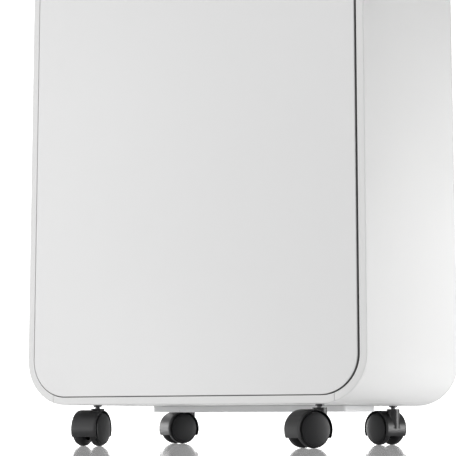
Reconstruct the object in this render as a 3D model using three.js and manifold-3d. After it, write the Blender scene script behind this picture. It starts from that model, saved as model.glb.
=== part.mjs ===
// A compressor dehumidifier on four twin-wheel casters, built as an assembly of separate pieces.
// Millimetres, +Z up, front towards -Y. The origin is on the floor, under the middle of the casing.
import * as THREE from "three";
import { mergeVertices } from "three/addons/utils/BufferGeometryUtils.js";
import Module from "manifold-3d";

const wasm = await Module();
wasm.setup();

// ---------- Driving dimensions ----------
const WIDTH = 392; // X
const DEPTH = 268; // Y
const TOP = 616; // Z of the top surface
const UNDERSIDE = 43; // Z of the casing's underside
const CORNER = 48; // radius of the casing's four long edges
const WALL = 3; // moulded wall thickness
const GAP = 0.3; // clearance between neighbouring pieces
const RIM = 7.9; // width of the rim round the front panel
const RIM_DEPTH = 5.5; // and its thickness
const REAR_LIP = 6; // depth of the rear cover
const SEAM_X = 161.5; // where the side shells meet the top cover and the base pan
const PANEL_LEFT_GAP = 0.8; // front panel to rim
const PANEL_RIGHT_GAP = 2.4;
const PANEL_END_GAP = 1.2;

const WHEEL_RADIUS = 18;
const STEM_X = 130; // caster stems, from the middle
const STEM_FRONT_Y = -97.5;
const STEM_REAR_Y = 102;
const TRAIL = 13.5; // stem axis to axle axis
// How far each caster has swivelled about Z, in degrees.
const CASTER_TURN = { front_left: 96, front_right: 57, rear_right: -28, rear_left: 57 };

const TANK_HALF = 112; // half the tank's width
const TANK_FRONT = -8; // Y of the tank's inner end
const TANK_RIM = 232; // Z of the tank's open top
const DECK = 296; // Z of the underside of the deck between tank bay and air duct
const FAN_Z = 440; // height of the fan's axis

// ---------- Derived places ----------
const FRONT = -DEPTH / 2;
const BACK = DEPTH / 2;
const SHELL_BACK = BACK - REAR_LIP;
const HALF = WIDTH / 2;
const MID_Z = (UNDERSIDE + TOP) / 2;
const BODY_HEIGHT = TOP - UNDERSIDE;
const FLOOR_Z = UNDERSIDE + WALL; // inner face of the base pan
const ROOF_Z = TOP - WALL; // inner face of the top cover

// ---------- Materials ----------
const material = (color, roughness, metalness = 0) =>
  new THREE.MeshStandardMaterial({ color, roughness, metalness });
const WHITE_GLOSS = material(0xf2f2f1, 0.22);
const WHITE_SATIN = material(0xededec, 0.42);
const PALE_GREY = material(0xc9cbcc, 0.3);
const BLACK_SATIN = material(0x1b1b1c, 0.42);
const BLACK_GLOSS = material(0x101114, 0.1);
const BUTTON_GREY = material(0xb9bcbf, 0.4);
const TANK_CLEAR = material(0x9fb2bd, 0.15);
const MESH_GREY = material(0x4a4d50, 0.8);
const STEEL = material(0xb5b8bb, 0.3, 0.9);
const COPPER = material(0xb87a4b, 0.3, 0.9);
const ALUMINIUM = material(0xc4c7ca, 0.35, 0.9);
const COMPRESSOR_BLACK = material(0x202123, 0.35, 0.2);
const CIRCUIT_GREEN = material(0x2d5a3c, 0.6);
const FOAM = material(0xe4e0d4, 0.85);

// ---------- Shapes and solids ----------
const rad = THREE.MathUtils.degToRad;

// A rectangle with round corners, in the plane of a profile.
function roundedRect(width, height, radius, x = 0, y = 0) {
  const a = width / 2 - radius;
  const b = height / 2 - radius;
  const shape = new THREE.Shape();
  shape.absarc(x + a, y - b, radius, -Math.PI / 2, 0);
  shape.absarc(x + a, y + b, radius, 0, Math.PI / 2);
  shape.absarc(x - a, y + b, radius, Math.PI / 2, Math.PI);
  shape.absarc(x - a, y - b, radius, Math.PI, 1.5 * Math.PI);
  shape.closePath();
  return shape;
}

function polygon(points) {
  return new THREE.Shape(points.map(([x, y]) => new THREE.Vector2(x, y)));
}

// A closed three.js geometry as a manifold-3d solid.
function solid(geometry) {
  const bare = geometry.clone();
  bare.deleteAttribute("normal");
  bare.deleteAttribute("uv");
  const merged = mergeVertices(bare, 1e-4);
  return new wasm.Manifold(
    new wasm.Mesh({
      numProp: 3,
      vertProperties: merged.attributes.position.array,
      triVerts: new Uint32Array(merged.index.array),
    }),
  );
}

const join = (...solids) => solids.reduce((sum, s) => sum.add(s));
const cut = (body, ...tools) => tools.reduce((rest, t) => rest.subtract(t), body);

function geometryOf(body) {
  const mesh = body.getMesh();
  const n = mesh.numProp;
  const positions = new Float32Array(mesh.numVert * 3);
  for (let i = 0; i < mesh.numVert; i++) {
    positions.set(mesh.vertProperties.subarray(i * n, i * n + 3), i * 3);
  }
  const geometry = new THREE.BufferGeometry();
  geometry.setAttribute("position", new THREE.BufferAttribute(positions, 3));
  geometry.setIndex(new THREE.BufferAttribute(mesh.triVerts, 1));
  return geometry;
}

const extrude = (shape, depth, steps) =>
  new THREE.ExtrudeGeometry(shape, { depth, bevelEnabled: false, curveSegments: steps });

// A profile drawn in X and Y, raised along Z.
function prismZ(shape, z0, z1, steps = 2) {
  return solid(extrude(shape, z1 - z0, steps).translate(0, 0, z0));
}

// A profile drawn in X and Z, run along Y.
function prismY(shape, y0, y1, steps = 4) {
  return solid(extrude(shape, y1 - y0, steps).rotateX(Math.PI / 2).translate(0, y1, 0));
}

// A profile drawn in Y and Z, run along X.
function prismX(shape, x0, x1, steps = 3) {
  return solid(
    extrude(shape, x1 - x0, steps).rotateZ(Math.PI / 2).rotateY(Math.PI / 2).translate(x0, 0, 0),
  );
}

function box(x0, x1, y0, y1, z0, z1) {
  const geometry = new THREE.BoxGeometry(x1 - x0, y1 - y0, z1 - z0);
  return solid(geometry.translate((x0 + x1) / 2, (y0 + y1) / 2, (z0 + z1) / 2));
}

const rod = (radius, length, sides) => new THREE.CylinderGeometry(radius, radius, length, sides);

function rodX(radius, x0, x1, y, z, sides = 12) {
  return solid(rod(radius, x1 - x0, sides).rotateZ(Math.PI / 2).translate((x0 + x1) / 2, y, z));
}

function rodY(radius, y0, y1, x, z, sides = 16) {
  return solid(rod(radius, y1 - y0, sides).translate(x, (y0 + y1) / 2, z));
}

function rodZ(radius, z0, z1, x, y, sides = 16) {
  return solid(rod(radius, z1 - z0, sides).rotateX(Math.PI / 2).translate(x, y, (z0 + z1) / 2));
}

const root = new THREE.Group();

function place(name, body, look, parent = root) {
  const mesh = new THREE.Mesh(geometryOf(body), look);
  mesh.name = name;
  parent.add(mesh);
  return mesh;
}

// ---------- Casing: one rounded tube along Y, with a rim round its front ----------
function casingProfile(inset) {
  return roundedRect(WIDTH - 2 * inset, BODY_HEIGHT - 2 * inset, CORNER - inset, 0, MID_Z);
}

function casingTube() {
  const tube = cut(
    prismY(casingProfile(0), FRONT, SHELL_BACK),
    prismY(casingProfile(WALL), FRONT - 1, SHELL_BACK + 1),
  );
  const rim = cut(
    prismY(casingProfile(0), FRONT, FRONT + RIM_DEPTH),
    prismY(casingProfile(RIM), FRONT - 1, FRONT + RIM_DEPTH + 1),
  );
  return join(tube, rim);
}
const casing = casingTube();

// ---------- Side shells, with their grip cups ----------
const GRIP = { length: 112, height: 34, radius: 16.5, z: 535, depth: 23 };
const DECK_LEDGE = { reach: 13, thick: 6, halfLength: 100 };
const SCREW = { x: 172, z: 276, boss: 16 };

function gripOpening(inset, x0, x1) {
  const { length, height, radius, z } = GRIP;
  return prismX(roundedRect(length - 2 * inset, height - 2 * inset, radius - inset, 0, z), x0, x1);
}

// side is 1 for the right-hand shell and -1 for the left-hand one.
function sideShell(side) {
  const span = (a, b) => [Math.min(side * a, side * b), Math.max(side * a, side * b)];
  const half = box(...span(SEAM_X + GAP / 2, HALF + 1), FRONT - 1, BACK, 0, TOP + 1);
  const inner = HALF - WALL + 0.5;
  const ledge = box(
    ...span(inner - DECK_LEDGE.reach, inner),
    -DECK_LEDGE.halfLength,
    DECK_LEDGE.halfLength,
    DECK - GAP - DECK_LEDGE.thick,
    DECK - GAP,
  );
  const bossHalf = SCREW.boss / 2;
  const boss = box(
    ...span(SCREW.x - bossHalf, inner),
    SHELL_BACK - 22,
    SHELL_BACK - GAP,
    SCREW.z - bossHalf,
    SCREW.z + bossHalf,
  );
  const shell = join(casing.intersect(half), ledge, boss);
  return cut(
    shell,
    gripOpening(0, ...span(HALF - 2 * WALL, HALF + 1)),
    rodY(2.4, SHELL_BACK - 20, SHELL_BACK + 1, side * SCREW.x, SCREW.z, 10),
  );
}

function gripCup(side) {
  const span = (a, b) => [Math.min(side * a, side * b), Math.max(side * a, side * b)];
  return cut(
    gripOpening(GAP, ...span(HALF - GRIP.depth, HALF)),
    gripOpening(GAP + 2, ...span(HALF - GRIP.depth + 2, HALF + 1)),
  );
}

place("right_side_shell", sideShell(1), WHITE_GLOSS);
place("left_side_shell", sideShell(-1), WHITE_GLOSS);
place("right_grip_cup", gripCup(1), PALE_GREY);
place("left_grip_cup", gripCup(-1), PALE_GREY);

// ---------- Front panel: a shallow tray whose flange sits behind the rim all the way round ----------
const PANEL = { depth: 11, wall: 2.5, lap: 2.5, flange: 2.4 };

function panelPlan(inset) {
  const width = WIDTH - 2 * RIM - PANEL_LEFT_GAP - PANEL_RIGHT_GAP - 2 * inset;
  const height = BODY_HEIGHT - 2 * (RIM + PANEL_END_GAP + inset);
  const shift = (PANEL_LEFT_GAP - PANEL_RIGHT_GAP) / 2;
  return roundedRect(width, height, CORNER - RIM - PANEL_END_GAP - inset, shift, MID_Z);
}

function frontPanel() {
  const { depth, wall, lap, flange } = PANEL;
  const back = FRONT + depth;
  const behind = FRONT + RIM_DEPTH + GAP;
  const body = join(
    prismY(panelPlan(0), FRONT, back),
    prismY(casingProfile(RIM - lap), behind, behind + flange),
  );
  return cut(body, prismY(panelPlan(wall), FRONT + WALL, back + 1));
}
place("front_panel", frontPanel(), WHITE_GLOSS);

// ---------- Base pan: the floor, the front lip, the caster sockets and the tank's guides ----------
const SOCKET = { radius: 7, bore: 3.9, top: 70 };
const casterPlaces = {
  front_left: [-STEM_X, STEM_FRONT_Y],
  front_right: [STEM_X, STEM_FRONT_Y],
  rear_left: [-STEM_X, STEM_REAR_Y],
  rear_right: [STEM_X, STEM_REAR_Y],
};

function basePan() {
  const width = SEAM_X - GAP / 2;
  const floor = casing.intersect(box(-width, width, FRONT - 1, BACK, 0, MID_Z));
  const sockets = Object.values(casterPlaces).map(([x, y]) =>
    rodZ(SOCKET.radius, FLOOR_Z - 1, SOCKET.top, x, y, 12),
  );
  const guides = [-1, 1].map((side) => {
    const ends = [side * (TANK_HALF + 1), side * (TANK_HALF + 3)].sort((a, b) => a - b);
    return box(...ends, TANK_FRONT, SHELL_BACK, FLOOR_Z - 1, FLOOR_Z + 8);
  });
  const stop = box(-TANK_HALF, TANK_HALF, TANK_FRONT - 4, TANK_FRONT - 2, FLOOR_Z - 1, FLOOR_Z + 24);
  const bores = Object.values(casterPlaces).map(([x, y]) =>
    rodZ(SOCKET.bore, UNDERSIDE - 1, SOCKET.top - 2, x, y, 12),
  );
  return cut(join(floor, ...sockets, ...guides, stop), ...bores);
}
place("base_pan", basePan(), WHITE_SATIN);

// ---------- Undertray: the shallow well under the tank bay, scalloped round the rear casters ----------
const UNDERTRAY = { half: 118, front: -4, back: 91, bottom: 36.4, wall: 2.5, scallop: 29 };
// Drain notches in its front wall: middle and half-width.
const NOTCHES = [
  [-73, 10],
  [-26, 5.5],
];

function undertray() {
  const { half, front, back, bottom, wall, scallop } = UNDERTRAY;
  const top = UNDERSIDE - GAP;
  const midY = (front + back) / 2;
  const outline = (inset, z0, z1) => {
    const size = [2 * (half - inset), back - front - 2 * inset];
    const plan = prismZ(roundedRect(...size, 5 - inset, 0, midY), z0, z1, 2);
    const rounds = [-1, 1].map((side) =>
      rodZ(scallop + inset, z0 - 1, z1 + 1, side * STEM_X, STEM_REAR_Y, 32),
    );
    return cut(plan, ...rounds);
  };
  const well = cut(outline(0, bottom, top), outline(wall, bottom + wall, top + 1));
  const ribs = [-80, -40, 0, 40, 80].map((x) =>
    box(x - 1, x + 1, front + 1, back - 1, bottom + 1, top - 1),
  );
  const notches = NOTCHES.map(([x, reach]) =>
    box(x - reach, x + reach, front - 1, front + wall + 1, bottom + 3.5, top + 1),
  );
  return cut(join(well, ...ribs), ...notches);
}
place("undertray", undertray(), PALE_GREY);

// ---------- Top cover, control fascia, display and buttons ----------
const FASCIA = { half: 136, front: -112, back: -66, radius: 10 };
const OUTLET = { half: 136, front: -44, back: 44, radius: 5 };
const DISPLAY = { width: 54, height: 24, radius: 3 };
const BUTTON = { width: 24, height: 15, radius: 7.4, proud: -0.4, skirt: 9 };
const BUTTON_PLACES = {
  button_power: -114,
  button_mode: -80,
  button_humidity_down: -46,
  button_humidity_up: 46,
  button_fan_speed: 80,
  button_timer: 114,
};
const FASCIA_Y = (FASCIA.front + FASCIA.back) / 2;

function openingPlan(opening, inset) {
  const { half, front, back, radius } = opening;
  const size = [2 * (half - inset), back - front - 2 * inset];
  return roundedRect(...size, radius - inset, 0, (front + back) / 2);
}

function topCover() {
  const width = SEAM_X - GAP / 2;
  const roof = casing.intersect(box(-width, width, FRONT - 1, BACK, MID_Z, TOP + 1));
  return cut(
    roof,
    prismZ(openingPlan(FASCIA, -GAP), ROOF_Z - 1, TOP + 1),
    prismZ(openingPlan(OUTLET, -GAP), ROOF_Z - 1, TOP + 1),
  );
}
place("top_cover", topCover(), WHITE_GLOSS);

const buttonPlan = (x, grow) =>
  roundedRect(BUTTON.width + 2 * grow, BUTTON.height + 2 * grow, BUTTON.radius + grow, x, FASCIA_Y);
const displayPlan = (grow) =>
  roundedRect(DISPLAY.width + 2 * grow, DISPLAY.height + 2 * grow, DISPLAY.radius + grow, 0, FASCIA_Y);

function controlFascia() {
  const plate = join(
    prismZ(openingPlan(FASCIA, 0), ROOF_Z, TOP),
    cut(
      prismZ(openingPlan(FASCIA, -4), ROOF_Z - 2.3, ROOF_Z - GAP),
      prismZ(openingPlan(FASCIA, 4), ROOF_Z - 3, ROOF_Z + 1),
    ),
    cut(
      prismZ(openingPlan(FASCIA, 0), ROOF_Z - 2, ROOF_Z + 0.5),
      prismZ(openingPlan(FASCIA, 4), ROOF_Z - 3, ROOF_Z),
    ),
  );
  const holes = Object.values(BUTTON_PLACES).map((x) =>
    prismZ(buttonPlan(x, GAP), ROOF_Z - 3, TOP + 1),
  );
  return cut(plate, ...holes, prismZ(displayPlan(GAP), ROOF_Z - 3, TOP + 1));
}
place("control_fascia", controlFascia(), BLACK_GLOSS);

function displayWindow() {
  return join(
    prismZ(displayPlan(0), ROOF_Z - 0.5, TOP - 0.2),
    prismZ(displayPlan(1.8), ROOF_Z - 2, ROOF_Z - GAP),
  );
}
place("display_window", displayWindow(), BLACK_GLOSS);

function button(x) {
  return join(
    prismZ(buttonPlan(x, 0), ROOF_Z - 4, TOP + BUTTON.proud),
    prismZ(buttonPlan(x, 1.6), ROOF_Z - 4, ROOF_Z - 2.6),
  );
}
for (const [name, x] of Object.entries(BUTTON_PLACES)) {
  place(name, button(x), BUTTON_GREY);
}

// ---------- Air outlet: a fixed grille under a flap that lifts about its rear edge ----------
const HINGE = { y: 41.8, z: 613.8, barrel: 2.1, pin: 1, inner: 131.3, ear: 131.8 };
const GRILLE = { bottom: 598, slatTop: 607, slats: [-24, -12, 0, 12, 24], bars: [-66, 0, 66] };

function outletGrille() {
  const top = ROOF_Z - GAP;
  const frame = cut(
    prismZ(openingPlan(OUTLET, -4), GRILLE.bottom, top),
    prismZ(openingPlan(OUTLET, 3.5), GRILLE.bottom - 1, top + 1),
  );
  const reach = OUTLET.half - 3;
  const slats = GRILLE.slats.map((y) =>
    box(-reach, reach, y - 0.9, y + 0.9, GRILLE.bottom + 1, GRILLE.slatTop),
  );
  const bars = GRILLE.bars.map((x) =>
    box(x - 1, x + 1, OUTLET.front + 3, OUTLET.back - 3, GRILLE.bottom + 2, GRILLE.slatTop - 2),
  );
  const ears = [-1, 1].map((side) => {
    const ends = [side * HINGE.ear, side * (OUTLET.half - 0.1)].sort((a, b) => a - b);
    const block = box(...ends, HINGE.y - 4, OUTLET.back - 0.1, top - 1, TOP - 0.1);
    return block.intersect(prismZ(openingPlan(OUTLET, 0.1), top - 2, TOP));
  });
  const pinHoles = [-1, 1].map((side) => {
    const ends = [side * (HINGE.ear - 1), side * (HINGE.ear + 3)].sort((a, b) => a - b);
    return rodX(HINGE.pin + 0.3, ...ends, HINGE.y, HINGE.z, 10);
  });
  // Corners of the frame that would sit in the flap's path are relieved.
  const earRelief = box(-HINGE.ear, HINGE.ear, OUTLET.back - 6, OUTLET.back, top - 2, TOP);
  return cut(join(cut(frame, earRelief), ...slats, ...bars, ...ears), ...pinHoles);
}
place("outlet_grille", outletGrille(), WHITE_SATIN);

function louvreFlap() {
  const plate = prismZ(openingPlan(OUTLET, GAP), ROOF_Z, TOP);
  const rearCut = box(-HALF, HALF, HINGE.y, BACK, ROOF_Z - 1, TOP + 1);
  const earCuts = [-1, 1].map((side) => {
    const ends = [side * HINGE.inner, side * HALF].sort((a, b) => a - b);
    return box(...ends, HINGE.y - 6, BACK, ROOF_Z - 1, TOP + 1);
  });
  const barrel = rodX(HINGE.barrel, -HINGE.inner, HINGE.inner, HINGE.y, HINGE.z, 16);
  const pin = rodX(HINGE.pin, -HINGE.ear - 2.4, HINGE.ear + 2.4, HINGE.y, HINGE.z, 10);
  const ribs = [-70, 0, 70].map((x) => box(x - 1, x + 1, -36, 36, ROOF_Z - 3, ROOF_Z + 0.5));
  return join(cut(plate, rearCut, ...earCuts), barrel, pin, ...ribs);
}
place("louvre_flap", louvreFlap(), WHITE_GLOSS);

// ---------- Rear cover, with the intake and the tank bay's mouth ----------
const INTAKE = { half: 148, bottom: 306, top: 570, radius: 12 };
const BAY = { half: 116, top: 250, radius: 12 };
const GLAND = { x: -155, z: 112, hole: 9 };
const DRAIN = { x: 155, z: 112, hole: 14 };

function intakePlan(inset) {
  const { half, bottom, top, radius } = INTAKE;
  const size = [2 * (half - inset), top - bottom - 2 * inset];
  return roundedRect(...size, radius - inset, 0, (bottom + top) / 2);
}

// The mouth is open at the bottom, so its plan runs on below the casing.
function bayPlan(inset, bottom) {
  const height = BAY.top - inset - bottom;
  return roundedRect(2 * (BAY.half - inset), height, BAY.radius - inset, 0, bottom + height / 2);
}

function rearCover() {
  const cover = cut(
    prismY(casingProfile(0), SHELL_BACK + GAP, BACK),
    prismY(casingProfile(WALL), SHELL_BACK, BACK - WALL),
  );
  const screwHoles = [-1, 1].flatMap((side) => [
    rodY(2.4, SHELL_BACK, BACK + 1, side * SCREW.x, SCREW.z, 10),
    rodY(4.6, BACK - 1.7, BACK + 1, side * SCREW.x, SCREW.z, 12),
  ]);
  return cut(
    cover,
    prismY(intakePlan(0), SHELL_BACK, BACK + 1, 2),
    prismY(bayPlan(0, UNDERSIDE - 60), SHELL_BACK, BACK + 1, 2),
    rodY(GLAND.hole, SHELL_BACK, BACK + 1, GLAND.x, GLAND.z, 18),
    rodY(DRAIN.hole, SHELL_BACK, BACK + 1, DRAIN.x, DRAIN.z, 20),
    ...screwHoles,
  );
}
place("rear_cover", rearCover(), WHITE_SATIN);

for (const [name, side] of [["left_rear_screw", -1], ["right_rear_screw", 1]]) {
  const screw = join(
    rodY(4.2, BACK - 1.4, BACK - 0.1, side * SCREW.x, SCREW.z, 12),
    rodY(2, SHELL_BACK - 16, BACK - 1, side * SCREW.x, SCREW.z, 10),
  );
  const drive = [
    box(side * SCREW.x - 2.4, side * SCREW.x + 2.4, BACK - 0.9, BACK, SCREW.z - 0.5, SCREW.z + 0.5),
    box(side * SCREW.x - 0.5, side * SCREW.x + 0.5, BACK - 0.9, BACK, SCREW.z - 2.4, SCREW.z + 2.4),
  ];
  place(name, cut(screw, ...drive), STEEL);
}

// ---------- Intake grille with its washable filter ----------
const SLOT = { pitch: 17, height: 9, columns: [-71.5, 71.5], width: 128, margin: 14 };

function intakeGrille() {
  const tray = cut(
    prismY(intakePlan(GAP), BACK - REAR_LIP, BACK, 2),
    prismY(intakePlan(GAP + 2.5), BACK - REAR_LIP - 1, BACK - WALL, 2),
  );
  const first = INTAKE.bottom + SLOT.margin;
  const last = INTAKE.top - SLOT.margin - 16;
  const slots = [];
  for (let z = first; z <= last; z += SLOT.pitch) {
    for (const x of SLOT.columns) {
      slots.push(
        box(x - SLOT.width / 2, x + SLOT.width / 2, BACK - WALL - 1, BACK + 1, z, z + SLOT.height),
      );
    }
  }
  // A finger pull at the top edge.
  const pull = prismY(roundedRect(60, 10, 4.9, 0, INTAKE.top - 13), BACK - 1.8, BACK + 1, 2);
  return cut(tray, ...slots, pull);
}
place("intake_grille", intakeGrille(), WHITE_SATIN);

function airFilter() {
  const back = BACK - REAR_LIP - GAP;
  const frame = cut(
    prismY(intakePlan(GAP + 0.2), back - 3.5, back, 2),
    prismY(intakePlan(9), back - 5, back + 1, 2),
  );
  const net = prismY(intakePlan(8), back - 2, back - 1.2, 2);
  const cross = [
    box(-INTAKE.half + 8, INTAKE.half - 8, back - 3.2, back - 0.4, 436, 440),
    box(-2, 2, back - 3.2, back - 0.4, INTAKE.bottom + 8, INTAKE.top - 8),
  ];
  return join(frame, net, ...cross);
}
place("air_filter", airFilter(), MESH_GREY);

// ---------- Mains gland and drain outlet ----------
function cordGland() {
  const body = join(
    rodY(GLAND.hole - GAP, SHELL_BACK - 2, BACK - 0.2, GLAND.x, GLAND.z, 18),
    rodY(GLAND.hole + 4, SHELL_BACK - 2, BACK - WALL - GAP, GLAND.x, GLAND.z, 18),
  );
  return cut(body, rodY(4, SHELL_BACK - 3, BACK + 1, GLAND.x, GLAND.z, 12));
}
place("cord_gland", cordGland(), BLACK_SATIN);

function drainSpigot() {
  const { x, z, hole } = DRAIN;
  const back = BACK - WALL - GAP;
  const cup = cut(
    rodY(hole + 4, back - 14, back, x, z, 20),
    rodY(hole, back - 11, back + 1, x, z, 20),
  );
  const tube = rodY(6.4, back - 28, back - 2, x, z, 12);
  return cut(join(cup, tube), rodY(4.4, back - 29, back + 1, x, z, 12));
}
place("drain_spigot", drainSpigot(), PALE_GREY);

function drainCap() {
  const { x, z } = DRAIN;
  const start = BACK - WALL - GAP - 10.5;
  const grip = box(x - 7, x + 7, BACK - 4, BACK - 0.4, z - 1.6, z + 1.6);
  const cap = join(rodY(10, start, BACK - 3.6, x, z, 18), grip);
  return cut(cap, rodY(6.8, start - 1, BACK - 4.6, x, z, 14));
}
place("drain_cap", drainCap(), BLACK_SATIN);

// ---------- Water tank, lid, carrying handle and float ----------
const TANK = { wall: 2.5, bottom: FLOOR_Z + 0.6, back: BACK - WALL };
const POCKET = { half: 42, bottom: 194, top: 224, depth: 22 };
const LID = { bottom: TANK_RIM + GAP, top: TANK_RIM + 3.3 };
const FILL = { half: 30, front: 82, back: 112 };
const BAIL = { y: 60, z: 241, ear: 97, arm: 100.4, reach: 48 };

const FLOAT = { x: -60, pivotY: 3, pivotZ: 78, reach: 31, pin: 2 };

// Two brackets on the tank's inner wall carry the float's pin.
function floatBrackets() {
  const { x, pivotY, pivotZ, reach, pin } = FLOAT;
  return [-1, 1].map((side) => {
    const ends = [x + side * (reach - 3), x + side * reach].sort((a, b) => a - b);
    const bracket = box(...ends, TANK_FRONT + 1, pivotY + 6, pivotZ - 6, pivotZ + 6);
    return cut(bracket, rodX(pin + 0.3, ends[0] - 1, ends[1] + 1, pivotY, pivotZ, 10));
  });
}

function waterTank() {
  const { wall, bottom, back } = TANK;
  const inner = TANK_HALF - wall;
  const shell = cut(
    box(-TANK_HALF, TANK_HALF, TANK_FRONT, back + 0.5, bottom, TANK_RIM),
    box(-inner, inner, TANK_FRONT + wall, back - wall, bottom + wall, TANK_RIM + 1),
  );
  const door = cut(
    prismY(bayPlan(0.4, UNDERSIDE - 30), back, BACK, 2),
    box(-HALF, HALF, back - 1, BACK + 1, 0, UNDERSIDE + GAP),
  );
  const { half, depth } = POCKET;
  const pocketMid = (POCKET.bottom + POCKET.top) / 2;
  const pocketHeight = POCKET.top - POCKET.bottom;
  const pocket = (grow, y0, y1) => {
    const plan = roundedRect(2 * (half + grow), pocketHeight + 2 * grow, 8 + grow, 0, pocketMid);
    return prismY(plan, y0, y1, 2);
  };
  const body = join(shell, door, pocket(2, back - depth, back + 0.5), ...floatBrackets());
  return cut(body, pocket(0, back - depth + 2, BACK + 1));
}

function tankLid() {
  const { bottom, top } = LID;
  const back = TANK.back - GAP;
  const edge = TANK_HALF - 0.2;
  const plate = box(-edge, edge, TANK_FRONT + 0.2, back, bottom, top);
  const lipOut = TANK_HALF - TANK.wall - GAP;
  const lip = cut(
    box(-lipOut, lipOut, TANK_FRONT + TANK.wall + GAP, TANK.back - TANK.wall - GAP, 229, bottom + 0.5),
    box(-lipOut + 2, lipOut - 2, TANK_FRONT + TANK.wall + 2, TANK.back - TANK.wall - 2.3, 228, bottom),
  );
  const collar = box(-FILL.half - 2, FILL.half + 2, FILL.front - 2, FILL.back + 2, bottom, top + 2);
  const mouth = box(-FILL.half, FILL.half, FILL.front, FILL.back, bottom - 6, top + 3);
  const ears = [-1, 1].map((side) => {
    const ends = [side * BAIL.ear, side * (BAIL.ear + 3)].sort((a, b) => a - b);
    const plan = polygon([
      [BAIL.y - 8, top - 0.5],
      [BAIL.y + 8, top - 0.5],
      [BAIL.y + 4, BAIL.z + 4],
      [BAIL.y - 4, BAIL.z + 4],
    ]);
    return cut(prismX(plan, ...ends), rodX(2.3, ends[0] - 1, ends[1] + 1, BAIL.y, BAIL.z));
  });
  return cut(join(plate, lip, collar, ...ears), mouth);
}

function tankHandle() {
  const { y, z, ear, arm, reach } = BAIL;
  const outer = arm + 4;
  const bar = box(-outer, outer, y - reach - 4, y - reach + 4, z - 3.2, z + 3.2);
  const arms = [-1, 1].map((side) => {
    const ends = [side * arm, side * outer].sort((a, b) => a - b);
    return box(...ends, y - reach, y + 4, z - 3.2, z + 3.2);
  });
  const pins = [-1, 1].map((side) => {
    const ends = [side * (ear - 0.5), side * (outer - 1)].sort((a, b) => a - b);
    return rodX(1.9, ...ends, y, z);
  });
  return join(bar, ...arms, ...pins);
}

function tankFloat() {
  const { x, pivotY, pivotZ, reach, pin } = FLOAT;
  const block = box(x - 26, x + 26, pivotY + 14, pivotY + 52, pivotZ - 22, pivotZ + 4);
  const arms = [-20, 20].map((dx) =>
    box(x + dx - 1.5, x + dx + 1.5, pivotY - 3, pivotY + 16, pivotZ - 3, pivotZ + 3),
  );
  const pivot = rodX(pin, x - reach + 0.5, x + reach - 0.5, pivotY, pivotZ, 10);
  return join(block, ...arms, pivot);
}

place("water_tank", waterTank(), TANK_CLEAR);
place("tank_lid", tankLid(), WHITE_SATIN);
place("tank_handle", tankHandle(), WHITE_SATIN);
place("tank_float", tankFloat(), FOAM);

// ---------- Deck, drip tray and coils ----------
const SPOUT = { x: 0, y: 98, bottom: 256 };
const PIPE_HOLE = { x: -152, y: -36 };
const COIL = { half: 132, bottom: 314.5, top: 556, thick: 22 };
const EVAPORATOR_Y = 108;
const CONDENSER_Y = 78;

function deck() {
  const width = HALF - WALL - 4;
  return cut(
    box(-width, width, FRONT + 14, SHELL_BACK - 6, DECK, DECK + WALL),
    rodZ(10, DECK - 1, DECK + WALL + 1, SPOUT.x, SPOUT.y),
    rodZ(9, DECK - 1, DECK + WALL + 1, PIPE_HOLE.x, PIPE_HOLE.y),
  );
}

function dripTray() {
  const bottom = DECK + WALL + GAP;
  const tray = cut(
    box(-COIL.half - 8, COIL.half + 8, 62, 122.5, bottom, bottom + 13),
    box(-COIL.half - 6, COIL.half + 6, 64, 120.5, bottom + 2, bottom + 14),
  );
  const spout = rodZ(8, SPOUT.bottom, bottom + 1, SPOUT.x, SPOUT.y);
  return cut(join(tray, spout), rodZ(5.5, SPOUT.bottom - 1, bottom + 3, SPOUT.x, SPOUT.y));
}

// A fin pack between two end plates, grooved down both faces.
function coil(y) {
  const { half, bottom, top, thick } = COIL;
  const reach = thick / 2;
  const core = box(-half + 2, half - 2, y - reach, y + reach, bottom + 2, top - 2);
  const plates = [-1, 1].map((side) => {
    const ends = [side * (half - 3), side * half].sort((a, b) => a - b);
    return box(...ends, y - reach - 1, y + reach + 1, bottom, top);
  });
  const grooves = [];
  for (let x = -half + 14; x < half - 10; x += 16) {
    grooves.push(box(x, x + 4, y + reach - 2, y + reach + 1, bottom + 6, top - 6));
  }
  return cut(join(core, ...plates), ...grooves);
}

place("deck", deck(), WHITE_SATIN);
place("drip_tray", dripTray(), WHITE_SATIN);
place("evaporator", coil(EVAPORATOR_Y), ALUMINIUM);
place("condenser", coil(CONDENSER_Y), ALUMINIUM);

// ---------- Fan: scroll housing, impeller and motor, on an axis along Y ----------
const SCROLL = { front: -30, back: 50, top: 592, half: 128, start: 100, wall: 2.5, inlet: 76 };
const IMPELLER = { radius: 86, inner: 70, front: -18, back: 32, blades: 18 };

// The volute: a straight-sided mouth above a spiral that opens from left to right.
function scrollPlan(inset) {
  const { half, start, top } = SCROLL;
  const points = [[half - inset, top], [-half + inset, top], [-half + inset, FAN_Z + 90]];
  const steps = 18;
  for (let i = 0; i <= steps; i++) {
    const share = i / steps;
    const angle = Math.PI + share * Math.PI;
    const radius = start + (half - start) * share - inset;
    points.push([radius * Math.cos(angle), FAN_Z + radius * Math.sin(angle)]);
  }
  return polygon(points);
}

function fanScroll() {
  const { front, back, wall, top, inlet } = SCROLL;
  const hollow = join(
    prismY(scrollPlan(wall), front + wall, back - wall),
    box(-SCROLL.half + wall, SCROLL.half - wall, front + wall, back - wall, top - 20, top + 1),
  );
  const feet = [-55, 55].map((x) => box(x - 5, x + 5, -20, 40, DECK + WALL + GAP, FAN_Z - 96));
  return cut(
    join(prismY(scrollPlan(0), front, back), ...feet),
    hollow,
    rodY(inlet, back - wall - 1, back + 1, 0, FAN_Z, 28),
    rodY(6, front - 1, front + wall + 1, 0, FAN_Z, 16),
  );
}

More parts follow.
